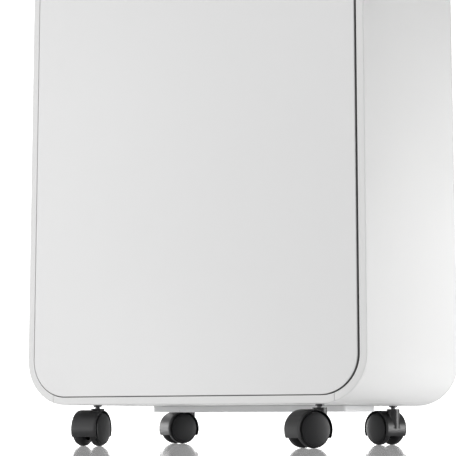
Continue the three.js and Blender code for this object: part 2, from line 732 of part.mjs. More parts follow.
function fanImpeller() {
  const { radius, inner, front, back, blades } = IMPELLER;
  const disc = rodY(radius, front, front + 3, 0, FAN_Z, 28);
  const hub = rodY(13, front + 1, front + 24, 0, FAN_Z, 14);
  const ring = cut(
    rodY(radius, back - 3, back, 0, FAN_Z, 28),
    rodY(inner, back - 4, back + 1, 0, FAN_Z, 28),
  );
  const middle = (radius + inner) / 2;
  const vanes = [];
  for (let i = 0; i < blades; i++) {
    const angle = (i / blades) * 2 * Math.PI;
    const vane = new THREE.BoxGeometry(radius - inner - 1, back - front - 2, 1.4);
    vane.rotateY(rad(28)).translate(middle, (front + back) / 2, 0);
    vanes.push(solid(vane.rotateY(angle).translate(0, 0, FAN_Z)));
  }
  return cut(join(disc, hub, ring, ...vanes), rodY(4.3, front - 1, back, 0, FAN_Z, 10));
}

function fanMotor() {
  const front = SCROLL.front;
  return join(
    rodY(40, front - 60, front - 4, 0, FAN_Z, 20),
    rodY(28, front - 70, front - 59, 0, FAN_Z, 16),
    rodY(4, front - 5, 4, 0, FAN_Z, 10),
    box(-26, 26, front - 42, front - 24, DECK + WALL + GAP, FAN_Z - 30),
    box(-34, 34, front - 52, front - 14, DECK + WALL + GAP, DECK + WALL + 4),
  );
}

place("fan_scroll", fanScroll(), WHITE_SATIN);
place("fan_impeller", fanImpeller(), BLACK_SATIN);
place("fan_motor", fanMotor(), STEEL);

// ---------- Compressor, refrigerant pipe and circuit board ----------
const COMPRESSOR = { x: -78, y: -66, radius: 46, bottom: 58, top: 262 };

function compressor() {
  const { x, y, radius, bottom, top } = COMPRESSOR;
  const dome = [
    [0, bottom],
    [radius * 0.7, bottom + 3],
    [radius, bottom + 16],
    [radius, top - 18],
    [radius * 0.7, top - 4],
    [0, top],
  ].map(([r, z]) => new THREE.Vector2(r, z));
  const can = solid(new THREE.LatheGeometry(dome, 24).rotateX(Math.PI / 2).translate(x, y, 0));
  const footRing = rodZ(50, bottom - 4, bottom + 1, x, y, 20);
  const neck = rodZ(16, bottom, bottom + 6, x, y, 12);
  const feet = [90, 210, 330].map((turn) => {
    const [fx, fy] = [x + 41 * Math.cos(rad(turn)), y + 41 * Math.sin(rad(turn))];
    return rodZ(7, FLOOR_Z + GAP, bottom, fx, fy, 10);
  });
  const accumulator = rodZ(15, 100, 215, x + 65, y, 16);
  const strap = box(x + 40, x + 55, y - 5, y + 5, 150, 162);
  return join(can, footRing, neck, ...feet, accumulator, strap);
}

function refrigerantPipe() {
  const route = [
    [COMPRESSOR.x, COMPRESSOR.y, COMPRESSOR.top + GAP],
    [COMPRESSOR.x, COMPRESSOR.y, 276],
    [-100, -58, 286],
    [-140, -42, 286],
    [PIPE_HOLE.x, PIPE_HOLE.y, 300],
    [PIPE_HOLE.x, PIPE_HOLE.y, 330],
    [-156, 20, 400],
    [-156, 80, 470],
    [-150, EVAPORATOR_Y, 490],
    [-COIL.half - GAP, EVAPORATOR_Y, 490],
  ].map((p) => new THREE.Vector3(...p));
  const section = new THREE.Shape();
  section.absarc(0, 0, 4, 0, 2 * Math.PI);
  const path = new THREE.CatmullRomCurve3(route, false, "centripetal");
  const tube = new THREE.ExtrudeGeometry(section, { steps: 26, extrudePath: path, curveSegments: 3 });
  return solid(tube);
}

function circuitBoard() {
  const bracket = join(
    box(50, 116, -115, -113, FLOOR_Z + GAP, 230),
    box(50, 116, -114, -96, FLOOR_Z + GAP + 0.2, FLOOR_Z + 2.3),
  );
  const board = box(46, 120, -113.5, -111.5, 96, 236);
  const capacitor = rodZ(15, 110, 180, 66, -97, 20);
  const relay = box(92, 114, -112, -92, 190, 216);
  const heatSink = box(90, 116, -112, -90, 110, 160);
  return join(bracket, board, capacitor, relay, heatSink);
}

place("compressor", compressor(), COMPRESSOR_BLACK);
place("refrigerant_pipe", refrigerantPipe(), COPPER);
place("circuit_board", circuitBoard(), CIRCUIT_GREEN);

// ---------- Twin-wheel casters ----------
// In a caster's own frame the stem stands at the origin and the axle runs along Y, behind it.
const HOOD = { radius: 20, inner: 18.8, half: 14.4, web: 2.6, skirt: 9.8, boss: 7.2, bossTop: 39.6 };
const STEM = 2.5;
const WHEEL = { inside: 3.4, tread: 13.2, face: 16, cap: 16.2, bore: 2.3, sides: 20 };
const AXLE = 2;

function casterHood() {
  const cylinder = (radius, y0, y1) => rodY(radius, y0, y1, -TRAIL, WHEEL_RADIUS, 24);
  const shell = cylinder(HOOD.radius, -HOOD.half, HOOD.half);
  const boss = rodZ(HOOD.boss, WHEEL_RADIUS, HOOD.bossTop, 0, 0, 16);
  const wheelSpaces = [
    cylinder(HOOD.inner, -HOOD.half - 2, -HOOD.web),
    cylinder(HOOD.inner, HOOD.web, HOOD.half + 2),
  ];
  const belowSkirt = box(-60, 60, -30, 30, -10, HOOD.skirt);
  const stemBore = rodZ(STEM + 0.3, 31.6, HOOD.bossTop + 1, 0, 0, 12);
  return cut(join(shell, boss), ...wheelSpaces, belowSkirt, stemBore, cylinder(AXLE + 0.2, -5, 5));
}

function casterStem() {
  return join(
    rodZ(STEM, 32, UNDERSIDE - 1.5, 0, 0, 12),
    rodZ(4.6, UNDERSIDE - 1.7, UNDERSIDE - GAP, 0, 0, 12),
    rodZ(3.5, UNDERSIDE - 1, SOCKET.top - 4, 0, 0, 12),
  );
}

function casterAxle() {
  return rodY(AXLE, -12.8, 12.8, -TRAIL, WHEEL_RADIUS, 12);
}

// side is 1 or -1: which end of the axle the wheel sits on.
function casterWheel(side) {
  const { inside, tread, face, cap, bore, sides } = WHEEL;
  // The tread is a polygon that stands on one of its flats.
  const outer = WHEEL_RADIUS / Math.cos(Math.PI / sides);
  const profile = [
    [0, face],
    [cap - 6, face - 0.5],
    [cap, face - 1.9],
    [outer, tread],
    [outer, inside],
    [bore, inside],
    [bore, tread],
    [0, tread],
  ].map(([r, y]) => new THREE.Vector2(r, y));
  const wheel = new THREE.LatheGeometry(profile.reverse(), sides, Math.PI / sides);
  if (side < 0) wheel.rotateX(Math.PI);
  return solid(wheel.translate(-TRAIL, 0, WHEEL_RADIUS));
}

for (const [corner, [x, y]] of Object.entries(casterPlaces)) {
  const caster = new THREE.Group();
  caster.position.set(x, y, 0);
  caster.rotation.z = rad(CASTER_TURN[corner]);
  root.add(caster);
  place(`${corner}_caster_stem`, casterStem(), STEEL, caster);
  place(`${corner}_caster_hood`, casterHood(), BLACK_SATIN, caster);
  place(`${corner}_caster_axle`, casterAxle(), STEEL, caster);
  place(`${corner}_caster_wheel_a`, casterWheel(1), BLACK_SATIN, caster);
  place(`${corner}_caster_wheel_b`, casterWheel(-1), BLACK_SATIN, caster);
}

export default root;
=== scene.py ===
"""The looks of a dehumidifier on casters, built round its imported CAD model.

Lengths in this script are millimetres until a mesh is made, and the meshes are in metres.
X runs across the front, Y from the front to the back, and Z up from the floor.
"""

import math

import bmesh
import bpy
from mathutils import Matrix, Vector


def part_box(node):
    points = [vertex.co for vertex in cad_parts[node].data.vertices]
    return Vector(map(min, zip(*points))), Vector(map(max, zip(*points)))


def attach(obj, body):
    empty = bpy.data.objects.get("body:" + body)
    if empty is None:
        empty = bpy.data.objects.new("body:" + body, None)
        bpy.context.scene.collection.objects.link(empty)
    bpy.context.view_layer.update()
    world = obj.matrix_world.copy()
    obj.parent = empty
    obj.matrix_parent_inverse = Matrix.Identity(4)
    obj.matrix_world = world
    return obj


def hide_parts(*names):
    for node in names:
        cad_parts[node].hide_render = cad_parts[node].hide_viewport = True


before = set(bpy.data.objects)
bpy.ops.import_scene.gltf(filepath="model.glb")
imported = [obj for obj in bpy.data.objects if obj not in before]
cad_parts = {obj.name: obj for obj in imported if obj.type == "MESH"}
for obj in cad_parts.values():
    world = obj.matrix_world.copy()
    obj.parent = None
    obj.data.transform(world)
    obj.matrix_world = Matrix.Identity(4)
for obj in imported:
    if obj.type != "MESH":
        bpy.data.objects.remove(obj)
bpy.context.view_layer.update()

MM = 0.001
scene = bpy.context.scene


def low(node):
    """The lowest corner of a CAD node, in millimetres."""
    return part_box(node)[0] / MM


def high(node):
    """The highest corner of a CAD node, in millimetres."""
    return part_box(node)[1] / MM


def corners(node):
    return low(node), high(node)


def middle_of(node):
    return (low(node) + high(node)) / 2


# ---------- Places read from the frame ----------
HALF = high("right_side_shell").x
FRONT = low("front_panel").y
BACK = high("rear_cover").y
TOP = high("top_cover").z
UNDERSIDE = low("base_pan").z
SHELL_BACK = high("right_side_shell").y
COVER_FRONT = low("rear_cover").y
SEAM = (low("right_side_shell").x + high("top_cover").x) / 2
PANEL_LAP = high("front_panel").x - HALF  # how far its flange stops short of the casing's side
MID_Z = (TOP + UNDERSIDE) / 2

# ---------- Sizes that the frame's boxes don't give ----------
CORNER = 48
WALL = 3
RIM = 7.9
RIM_DEPTH = 5.5
SEAM_GAP = 0.15
PANEL_LEFT_GAP = 0.5
PANEL_RIGHT_GAP = 2.4
PANEL_END_GAP = 0.9
ARC_STEPS = 20  # faces in a quarter turn of a large corner


# ---------- Outlines ----------
def arc(cx, cy, radius, start, end, steps):
    """Points on an arc, with its angles in degrees."""
    angles = [math.radians(start + (end - start) * i / steps) for i in range(steps + 1)]
    return [(cx + radius * math.cos(a), cy + radius * math.sin(a)) for a in angles]


def quarter(steps):
    """The angles of a quarter turn, both ends included."""
    return [math.pi / 2 * i / steps for i in range(steps + 1)]


def rounded(width, height, radius, cx=0.0, cy=0.0, steps=ARC_STEPS):
    """A rectangle with round corners, anticlockwise from its lower right corner."""
    a, b = width / 2 - radius, height / 2 - radius
    return (
        arc(cx + a, cy - b, radius, -90, 0, steps)
        + arc(cx + a, cy + b, radius, 0, 90, steps)
        + arc(cx - a, cy + b, radius, 90, 180, steps)
        + arc(cx - a, cy - b, radius, 180, 270, steps)
    )


def inset_plan(width, height, radius, cx=0.0, cy=0.0, steps=ARC_STEPS, least=-math.inf):
    """A rounded rectangle as a function of how far it is drawn in. Its corners' radius has a lower limit."""
    return lambda inset: rounded(
        width - 2 * inset, height - 2 * inset, max(radius - inset, least), cx, cy, steps
    )


def rectangle(u0, u1, v0, v1):
    return [(u0, v0), (u1, v0), (u1, v1), (u0, v1)]


def circle(cx, cy, radius, steps=48):
    return arc(cx, cy, radius, 0, 360, steps)[:-1]


def casing(inset):
    """The casing's outline in X and Z, drawn in by inset."""
    return inset_plan(2 * HALF, TOP - UNDERSIDE, CORNER, 0, MID_Z)(inset)


# ---------- Meshes ----------
AXES = {
    "x": lambda u, v, w: (w, u, v),
    "y": lambda u, v, w: (u, w, v),
    "z": lambda u, v, w: (u, v, w),
}


def object_from(name, bm):
    """A mesh object made from a bmesh in millimetres."""
    bmesh.ops.recalc_face_normals(bm, faces=bm.faces)
    bmesh.ops.scale(bm, vec=(MM, MM, MM), verts=bm.verts)
    mesh = bpy.data.meshes.new(name)
    bm.to_mesh(mesh)
    bm.free()
    made = bpy.data.objects.new(name, mesh)
    scene.collection.objects.link(made)
    return made


def loft(name, rings, cyclic=False):
    """A closed skin through rings of equal length, capped at both ends unless it is cyclic."""
    bm = bmesh.new()
    rows = [[bm.verts.new(p) for p in ring] for ring in rings]
    count = len(rings[0])
    pairs = list(zip(rows, rows[1:]))
    if cyclic:
        pairs.append((rows[-1], rows[0]))
    else:
        bm.faces.new(rows[0])
        bm.faces.new(rows[-1])
    for a, b in pairs:
        for i in range(count):
            j = (i + 1) % count
            bm.faces.new((a[i], a[j], b[j], b[i]))
    return object_from(name, bm)


def prism(name, outline, axis, start, end):
    """An outline run along an axis."""
    place = AXES[axis]
    return loft(name, [[place(u, v, w) for u, v in outline] for w in (start, end)])


def stack(name, plan, axis, levels, cyclic=False):
    """A skin through levels of one plan, each given as (inset, place along the axis)."""
    place = AXES[axis]
    return loft(name, [[place(u, v, w) for u, v in plan(inset)] for inset, w in levels], cyclic)


def box(name, x0, x1, y0, y1, z0, z1):
    """A block, whose ends along X may come in either order."""
    return prism(name, rectangle(*sorted((x0, x1)), y0, y1), "z", z0, z1)


def rod(name, radius, axis, start, end, u, v, steps=48):
    return prism(name, circle(u, v, radius, steps), axis, start, end)


def lathe(name, profile, steps=64):
    """A profile of (radius, height) turned about Z. A radius of 0 closes the end."""
    bm = bmesh.new()
    rows = []
    for radius, height in profile:
        if radius < 1e-6:
            rows.append([bm.verts.new((0, 0, height))])
        else:
            rows.append([bm.verts.new((x, y, height)) for x, y in circle(0, 0, radius, steps)])
    for a, b in zip(rows, rows[1:]):
        for i in range(steps):
            j = (i + 1) % steps
            corners = [a[i % len(a)], a[j % len(a)], b[j % len(b)], b[i % len(b)]]
            unique = list(dict.fromkeys(corners))
            if len(unique) > 2:
                bm.faces.new(unique)
    for end in (rows[0], rows[-1]):
        if len(end) > 1:
            bm.faces.new(end)
    return object_from(name, bm)


def revolve(name, profile, steps=64):
    """A closed profile of (radius, height), clear of the axis, turned about Z."""
    ring = [[(x, y, height) for x, y in circle(0, 0, radius, steps)] for radius, height in profile]
    return loft(name, ring, cyclic=True)


def tube(name, path, radius, steps=16):
    """A round bar along a path of points."""
    points = [Vector(p) for p in path]
    side = None
    rings = []
    for before, point, after in zip(points[:1] + points, points, points[1:] + points[-1:]):
        ahead = (after - before).normalized()
        side = ahead.orthogonal() if side is None else side - ahead * side.dot(ahead)
        side.normalize()
        across = ahead.cross(side)
        rings.append([point + side * u + across * v for u, v in circle(0, 0, radius, steps)])
    return loft(name, rings)


def gather(name, *parts):
    """Several skins as one mesh, with nothing cut away where they meet."""
    bm = bmesh.new()
    for part in parts:
        bm.from_mesh(part.data)
        bpy.data.objects.remove(part)
    mesh = bpy.data.meshes.new(name)
    bm.to_mesh(mesh)
    bm.free()
    made = bpy.data.objects.new(name, mesh)
    scene.collection.objects.link(made)
    return made


def turned(obj, matrix):
    """Moves a mesh's points by a matrix whose shifts are in metres."""
    obj.data.transform(matrix)
    return obj


def moved(obj, x, y, z):
    return turned(obj, Matrix.Translation(Vector((x, y, z)) * MM))


def settle(obj):
    """Applies the object's modifiers to its mesh."""
    graph = bpy.context.evaluated_depsgraph_get()
    graph.update()
    mesh = bpy.data.meshes.new_from_object(obj.evaluated_get(graph))
    obj.modifiers.clear()
    obj.data = mesh
    return obj


def boolean(obj, tools, operation):
    for tool in tools:
        modifier = obj.modifiers.new("boolean", "BOOLEAN")
        modifier.operation = operation
        modifier.solver = "EXACT"
        modifier.object = tool
    settle(obj)
    for tool in tools:
        bpy.data.objects.remove(tool)
    return obj


def cut(obj, *tools):
    return boolean(obj, tools, "DIFFERENCE")


def join(obj, *others):
    return boolean(obj, others, "UNION")


def soften(obj, width, segments=2, angle=32):
    """Rounds the sharp edges and smooths what is left."""
    modifier = obj.modifiers.new("soften", "BEVEL")
    modifier.width = width * MM
    modifier.segments = segments
    modifier.limit_method = "ANGLE"
    modifier.angle_limit = math.radians(angle)
    settle(obj)
    return smooth(obj)


def smooth(obj, angle=38):
    obj.data.shade_smooth()
    obj.data.set_sharp_from_angle(angle=math.radians(angle))
    return obj


def dress(obj, look, body, slot, *nodes):
    """Gives a piece its material and its body, and hides the CAD nodes that it stands for. Its slot is not
    used.
    """
    obj.data.materials.clear()
    obj.data.materials.append(look)
    even = obj.modifiers.new("even", "WEIGHTED_NORMAL")
    even.keep_sharp = True
    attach(obj, body)
    if nodes:
        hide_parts(*nodes)


# ---------- Materials ----------
def feed(tree, socket, value):
    """Gives an input a value, or the output that drives it."""
    if isinstance(value, bpy.types.NodeSocket):
        tree.links.new(value, socket)
    else:
        socket.default_value = value


def wire(tree, kind, output, mode=None, **inputs):
    """Adds a shader node, sets one of its modes if asked, feeds its inputs and returns an output."""
    node = tree.nodes.new("ShaderNode" + kind)
    if mode:
        setattr(node, *mode)
    for name, value in inputs.items():
        feed(tree, node.inputs[name.replace("_", " ")], value)
    return node.outputs[output]


def material(name, color, roughness, metallic=0.0, coat=0.0, specular=0.5):
    """A principled material, its node tree and its shader's inputs."""
    made = bpy.data.materials.new(name)
    made.use_nodes = True
    inputs = made.node_tree.nodes["Principled BSDF"].inputs
    inputs["Base Color"].default_value = (*color, 1)
    inputs["Roughness"].default_value = roughness
    inputs["Metallic"].default_value = metallic
    inputs["Coat Weight"].default_value = coat
    inputs["Coat Roughness"].default_value = 0.08
    inputs["Specular IOR Level"].default_value = specular
    return made, made.node_tree, inputs


def noise(tree, scale, detail=3.0, stretch=(1, 1, 1)):
    """Noise fixed to the object's own coordinates, in metres."""
    place = wire(tree, "TexCoord", "Object")
    mapped = wire(tree, "Mapping", "Vector", Vector=place, Scale=stretch)
    return wire(tree, "TexNoise", "Fac", Vector=mapped, Scale=scale, Detail=detail)


def ramp(tree, source, lowest, highest):
    """Spreads a noise's middle over a range of values."""
    limits = {"From_Min": 0.15, "From_Max": 0.85, "To_Min": lowest, "To_Max": highest}
    return wire(tree, "MapRange", "Result", ("interpolation_type", "SMOOTHSTEP"), Value=source, **limits)


def bump(tree, source, distance, strength):
    return wire(tree, "Bump", "Normal", Height=source, Distance=distance * MM, Strength=strength)


def mix(tree, share, color_a, color_b):
    return wire(tree, "Mix", "Result", ("data_type", "RGBA"), Factor=share, A=color_a, B=color_b)


def scaled(color, factor):
    return (*(min(1.0, c * factor) for c in color), 1)


def moulded(name, color, roughness, grain, depth, vary, coat=0.0, specular=0.5):
    """Moulded plastic: a fine grain, a slight flow mottle and uneven gloss."""
    made, tree, inputs = material(name, color, roughness, 0, coat, specular)
    broad = noise(tree, 9, 2.0)
    feed(tree, inputs["Normal"], bump(tree, noise(tree, grain, 2.0), depth, 0.5))
    feed(tree, inputs["Roughness"], ramp(tree, broad, roughness * 0.9, roughness * 1.12))
    feed(tree, inputs["Base Color"], mix(tree, broad, scaled(color, 1 - vary), scaled(color, 1 + vary)))
    return made


def paint_gap_shade(made, depth, gap_shade):
    """Keeps a moulding's colour on its front only; whatever lies more than depth behind it gets a dark
    colour, as painted shade for the gap round the panel.
    """
    tree = made.node_tree
    base = tree.nodes["Principled BSDF"].inputs["Base Color"]
    y = wire(tree, "SeparateXYZ", "Y", Vector=wire(tree, "TexCoord", "Object"))
    limits = {"From_Min": (FRONT + depth) * MM, "From_Max": (FRONT + depth + 0.6) * MM}
    behind = wire(tree, "MapRange", "Result", Value=y, **limits)
    feed(tree, base, mix(tree, behind, base.links[0].from_socket, (*gap_shade, 1)))


def clear(*values):
    """Smoky translucent plastic: light passes through it, and its grain scatters some."""
    made = moulded(*values)
    made.node_tree.nodes["Principled BSDF"].inputs["Transmission Weight"].default_value = 0.55
    return made


def metal(name, color, roughness, stretch=(1, 1, 12)):
    """Drawn or brushed metal, with its grain along Z unless stretched otherwise."""
    made, tree, inputs = material(name, color, roughness, 1.0)
    fine = noise(tree, 300, 3.0, stretch)
    feed(tree, inputs["Normal"], bump(tree, fine, 0.01, 0.6))
    feed(tree, inputs["Roughness"], ramp(tree, fine, roughness * 0.75, roughness * 1.3))
    feed(tree, inputs["Base Color"], mix(tree, fine, scaled(color, 0.88), scaled(color, 1.08)))
    return made


# Mouldings: colour, roughness, the grain's scale and depth, and how much the colour varies.
SHELL_WHITE = moulded("shell_white", (0.80, 0.80, 0.797), 0.40, 2200, 0.006, 0.008)
PANEL_WHITE = moulded("panel_white", (0.82, 0.82, 0.82), 0.3, 2400, 0.004, 0.006)
# Painted shade: the panel's skirt and flange get a dark grey so the gap round the panel looks shaded.
paint_gap_shade(PANEL_WHITE, 0.9, (0.2, 0.2, 0.2))
SATIN_WHITE = moulded("satin_white", (0.78, 0.78, 0.775), 0.45, 1300, 0.02, 0.012)
TRAY_GREY = moulded("tray_grey", (0.86, 0.865, 0.87), 0.38, 900, 0.02, 0.06)
CUP_GREY = moulded("cup_grey", (0.55, 0.555, 0.56), 0.42, 1500, 0.03, 0.02)
CASTER_BLACK = moulded("caster_black", (0.010, 0.010, 0.011), 0.36, 1500, 0.03, 0.1)
WHEEL_BLACK = moulded("wheel_black", (0.008, 0.008, 0.009), 0.38, 1700, 0.03, 0.1, specular=0.3)
BLACK_SATIN = moulded("black_satin", (0.025, 0.025, 0.027), 0.45, 1200, 0.03, 0.08)
FASCIA_BLACK = moulded("fascia_black", (0.012, 0.012, 0.014), 0.12, 2500, 0.002, 0.05, coat=0.6)
BUTTON_GREY = moulded("button_grey", (0.42, 0.43, 0.44), 0.4, 1500, 0.02, 0.02)
FOAM = moulded("float_foam", (0.75, 0.72, 0.62), 0.85, 700, 0.25, 0.06)
CIRCUIT = moulded("circuit_green", (0.02, 0.13, 0.05), 0.45, 500, 0.06, 0.25)
ENAMEL = moulded("compressor_enamel", (0.014, 0.014, 0.015), 0.3, 420, 0.05, 0.15, coat=0.4)
DIGIT_GREY = moulded("digit_grey", (0.10, 0.11, 0.11), 0.35, 1500, 0.01, 0.03)
NET_GREY = moulded("net_grey", (0.05, 0.053, 0.056), 0.6, 2600, 0.05, 0.1)
TANK_CLEAR = clear("tank_clear", (0.62, 0.68, 0.72), 0.16, 1600, 0.03, 0.02)
STEM_STEEL = metal("stem_steel", (0.12, 0.12, 0.125), 0.3)
SCREW_STEEL = metal("screw_steel", (0.55, 0.55, 0.56), 0.3)
MOTOR_STEEL = metal("motor_steel", (0.50, 0.50, 0.52), 0.38)
ALUMINIUM = metal("fin_aluminium", (0.72, 0.73, 0.74), 0.38)
COPPER = metal("tube_copper", (0.72, 0.36, 0.2), 0.3, stretch=(3, 3, 3))


# ---------- Casing: a shell's section swept along part of the outline ----------
OUTER_FILLET = 1.5
EDGE_FILLET = 0.5


def shell_section():
    """(inset, y) round the shell's wall and rim, starting at its outer back edge."""
    inner, outer = EDGE_FILLET, OUTER_FILLET
    return (
        [(0, y) for y in (SHELL_BACK - inner, FRONT + 60, FRONT + 20, FRONT + 6)]
        + arc(outer, FRONT + outer, outer, 180, 270, 5)
        + [((outer + RIM) / 2, FRONT)]
        + arc(RIM - inner, FRONT + inner, inner, -90, 0, 3)
        + [(RIM, FRONT + RIM_DEPTH), (WALL, FRONT + RIM_DEPTH), (WALL, FRONT + 30), (WALL, SHELL_BACK)]
        + arc(inner, SHELL_BACK - inner, inner, 90, 150, 2)
    )


def side_path(inset, side):
    """The outline's stretch past the seam, from the underside up to the top."""
    radius = CORNER - inset
    centre = HALF - CORNER
    lean = math.degrees(math.asin((SEAM + SEAM_GAP - centre) / radius))
    bottom = arc(centre, UNDERSIDE + CORNER, radius, lean - 90, 0, ARC_STEPS)
    top = arc(centre, TOP - CORNER, radius, 0, 90 - lean, ARC_STEPS)
    span = TOP - UNDERSIDE - 2 * CORNER
    middle = [(HALF - inset, UNDERSIDE + CORNER + span * i / 8) for i in range(1, 8)]
    return [(side * x, z) for x, z in bottom + middle + top]


def end_path(inset, side):
    """The outline's stretch between the seams: side is 1 for the top and -1 for the bottom."""
    radius = CORNER - inset
    centre = HALF - CORNER
    lean = math.degrees(math.asin((SEAM - SEAM_GAP - centre) / radius))
    right = arc(centre, 0, radius, 90 - lean, 90, 6)
    left = [(-x, z) for x, z in reversed(right)]
    middle = [(centre - 2 * centre * i / 8, radius) for i in range(1, 8)]
    level = TOP - CORNER if side > 0 else UNDERSIDE + CORNER
    return [(x, level + side * z) for x, z in right + middle + left]


def sweep(name, path, side):
    section = shell_section()
    paths = [path(inset, side) for inset, _ in section]
    steps = zip(*paths)
    return loft(name, [[(x, y, z) for (x, z), (_, y) in zip(step, section)] for step in steps])


def side_shell(side, word):
    shell = sweep(f"{word}_shell", side_path, side)
    lower, upper = corners(f"{word}_grip_cup")
    width, height = upper.y - lower.y + 0.6, upper.z - lower.z + 0.6
    opening = rounded(width, height, height / 2 - 0.5, 0, (lower.z + upper.z) / 2, 12)
    cut(shell, prism("opening", opening, "x", side * (HALF - 3 * WALL), side * (HALF + 5)))
    soften(shell, 0.35)
    dress(shell, SHELL_WHITE, "casing", "white_shell", f"{word}_side_shell")


def grip_cup(side, word):
    node = f"{word}_grip_cup"
    lower, upper = corners(node)
    height, wall = upper.z - lower.z, 2
    middle = (lower.z + upper.z) / 2
    plan = inset_plan(upper.y - lower.y, height, height / 2 - 0.8, 0, middle, 12, least=1.5)
    floor = HALF - (upper.x - lower.x)
    levels = [(4, floor), (1.2, floor + 0.6), (0, floor + 3), (0, HALF - 0.5), (0.3, HALF - 0.1)]
    levels += [(wall - 0.5, HALF - 0.1), (wall, HALF - 0.6), (wall, floor + wall + 5)]
    levels += [(wall + 1.5, floor + wall + 1.5), (wall + 5, floor + wall)]
    cup = smooth(stack(f"{word}_cup", plan, "x", [(inset, side * x) for inset, x in levels]), 50)
    dress(cup, CUP_GREY, "casing", "pale_grey", node)


for word, side in (("right", 1), ("left", -1)):
    side_shell(side, word)
    grip_cup(side, word)


# ---------- Front panel ----------
def front_panel():
    """A flat face with a small fillet, a skirt, and a flange that laps behind the rim."""
    width = 2 * (HALF - RIM) - PANEL_LEFT_GAP - PANEL_RIGHT_GAP
    height = TOP - UNDERSIDE - 2 * (RIM + PANEL_END_GAP)
    shift = (PANEL_LEFT_GAP - PANEL_RIGHT_GAP) / 2
    face = inset_plan(width, height, CORNER - RIM - PANEL_END_GAP, shift, MID_Z)
    back = high("front_panel").y
    behind = FRONT + RIM_DEPTH + 0.3
    wall, fillet = 2.5, 0.8

    def plan(inset):
        return casing(-PANEL_LAP) if inset is None else face(inset)

    levels = [(fillet - r, FRONT + fillet - s) for r, s in arc(0, 0, fillet, 90, 0, 5)]
    levels += [(0, behind), (None, behind), (None, behind + 2.4), (0, behind + 2.4), (0, back)]
    levels += [(wall, back), (wall, FRONT + WALL)]
    panel = smooth(stack("front_panel_skin", plan, "y", levels))
    dress(panel, PANEL_WHITE, "casing", "white_panel", "front_panel")


front_panel()


# ---------- Top cover and base pan ----------
FLANGE = 4  # how far the fascia and the outlet's frame reach under the top cover
CORNERS = ("front_left", "front_right", "rear_left", "rear_right")


def opening_plan(node, radius, gap=0):
    """The opening in the top cover that a flanged node fills, or that opening with a gap round the node."""
    lower, upper = corners(node)
    reach = 2 * (FLANGE - gap)
    width, depth = upper.x - lower.x - reach, upper.y - lower.y - reach
    return inset_plan(width, depth, radius, 0, (lower.y + upper.y) / 2, 10)


def top_cover():
    cover = sweep("top_skin", end_path, 1)
    plans = opening_plan("control_fascia", 10.3, 0.3), opening_plan("outlet_grille", 5.3, 0.3)
    cut(cover, *(prism("opening", plan(0), "z", TOP - 2 * WALL, TOP + 1) for plan in plans))
    soften(cover, 0.4)
    dress(cover, SHELL_WHITE, "casing", "white_shell", "top_cover")


def stem_place(corner):
    lower, upper = corners(f"{corner}_caster_stem")
    return (lower.x + upper.x) / 2, (lower.y + upper.y) / 2


def base_pan():
    """The floor, with the casters' sockets, a guide beside the tank on either hand and its stop."""
    pan = sweep("base_skin", end_path, -1)
    floor = UNDERSIDE + WALL
    tank = low("water_tank").y
    parts = [rod("socket", 7, "z", floor - 1, 70, *stem_place(corner)) for corner in CORNERS]
    for side in (-1, 1):
        parts.append(box("guide", side * 113, side * 115, tank, SHELL_BACK - 0.2, floor - 1, floor + 8))
    parts.append(box("stop", -112, 112, tank - 4, tank - 2, floor - 1, floor + 24))
    join(pan, *parts)
    cut(pan, *(rod("bore", 3.9, "z", UNDERSIDE - 1, 68, *stem_place(corner)) for corner in CORNERS))
    soften(pan, 0.4)
    dress(pan, SHELL_WHITE, "casing", "white_satin", "base_pan")


top_cover()
base_pan()


# ---------- Undertray ----------
def undertray():
    """A shallow well with ribs, scalloped round the rear casters, with two scoops in its front edge."""
    lower, upper = corners("undertray")
    middle = (lower.y + upper.y) / 2
    plan = inset_plan(upper.x - lower.x, upper.y - lower.y, 5, 0, middle, 6)
    wall, scallop = 2.5, 29

    def well(inset, z0, z1):
        body = prism("undertray_well", plan(inset), "z", z0, z1)
        rounds = [
            rod("scallop", scallop + inset, "z", z0 - 1, z1 + 1, *stem_place(corner), 96)
            for corner in ("rear_left", "rear_right")
        ]
        return cut(body, *rounds)

    tray = well(0, lower.z, upper.z)
    cut(tray, well(wall, lower.z + wall, upper.z + 1))
    inside = (lower.y + 1, upper.y - 1, lower.z + 1, upper.z - 1)
    join(tray, *(box("rib", x - 1, x + 1, *inside) for x in (-80, -40, 0, 40, 80)))
    slope = [(lower.y - 1, lower.z - 1), (lower.y + 2.2, lower.z - 1), (lower.y - 1, upper.z - 1.2)]
    cut(tray, *(prism("scoop", slope, "x", x - reach, x + reach) for x, reach in ((-73, 10), (-26, 5.5))))
    soften(tray, 0.5)
    dress(tray, TRAY_GREY, "casing", "pale_tray", "undertray")


undertray()


# ---------- Twin-wheel casters ----------
WHEEL_RADIUS = 18
TRAIL = 13.5
TURN = {"front_left": 96, "front_right": 57, "rear_right": -28, "rear_left": 57}
HOOD_RADIUS = 20
HOOD_INNER = 18.8
HOOD_HALF = 14.4
HOOD_WEB = 2.6
HOOD_SKIRT = 9.8
BOSS_RADIUS = 7.2


def rotation(degrees, axis):
    return Matrix.Rotation(math.radians(degrees), 4, axis)


def caster_frame(corner):
    """From a caster's own frame, with its stem at the origin, to the row frame."""
    x, y = stem_place(corner)
    return Matrix.Translation((x * MM, y * MM, 0)) @ rotation(TURN[corner], "Z")


def on_axle(obj, degrees):
    """Lays a lathed piece's axis along Y and puts it on the axle."""
    turned(obj, rotation(degrees, "X"))
    return moved(obj, -TRAIL, 0, WHEEL_RADIUS)


def hood_shell():
    """A drum with rounded shoulders, lying along Y: a thin wall and a web across its middle."""
    shoulder, run = 1.1, 3.2
    half = [(0, HOOD_WEB), (HOOD_INNER, HOOD_WEB), (HOOD_INNER, HOOD_HALF)]
    for r, h in arc(0, 0, 1, 90, 0, 6):
        half.append((HOOD_RADIUS + shoulder * (r - 1), HOOD_HALF + run * (h - 1)))
    half += [(HOOD_RADIUS, 6)]
    profile = [(r, -y) for r, y in half] + [(HOOD_RADIUS, 0)] + half[::-1]
    return on_axle(lathe("hood", profile, 96), 90)


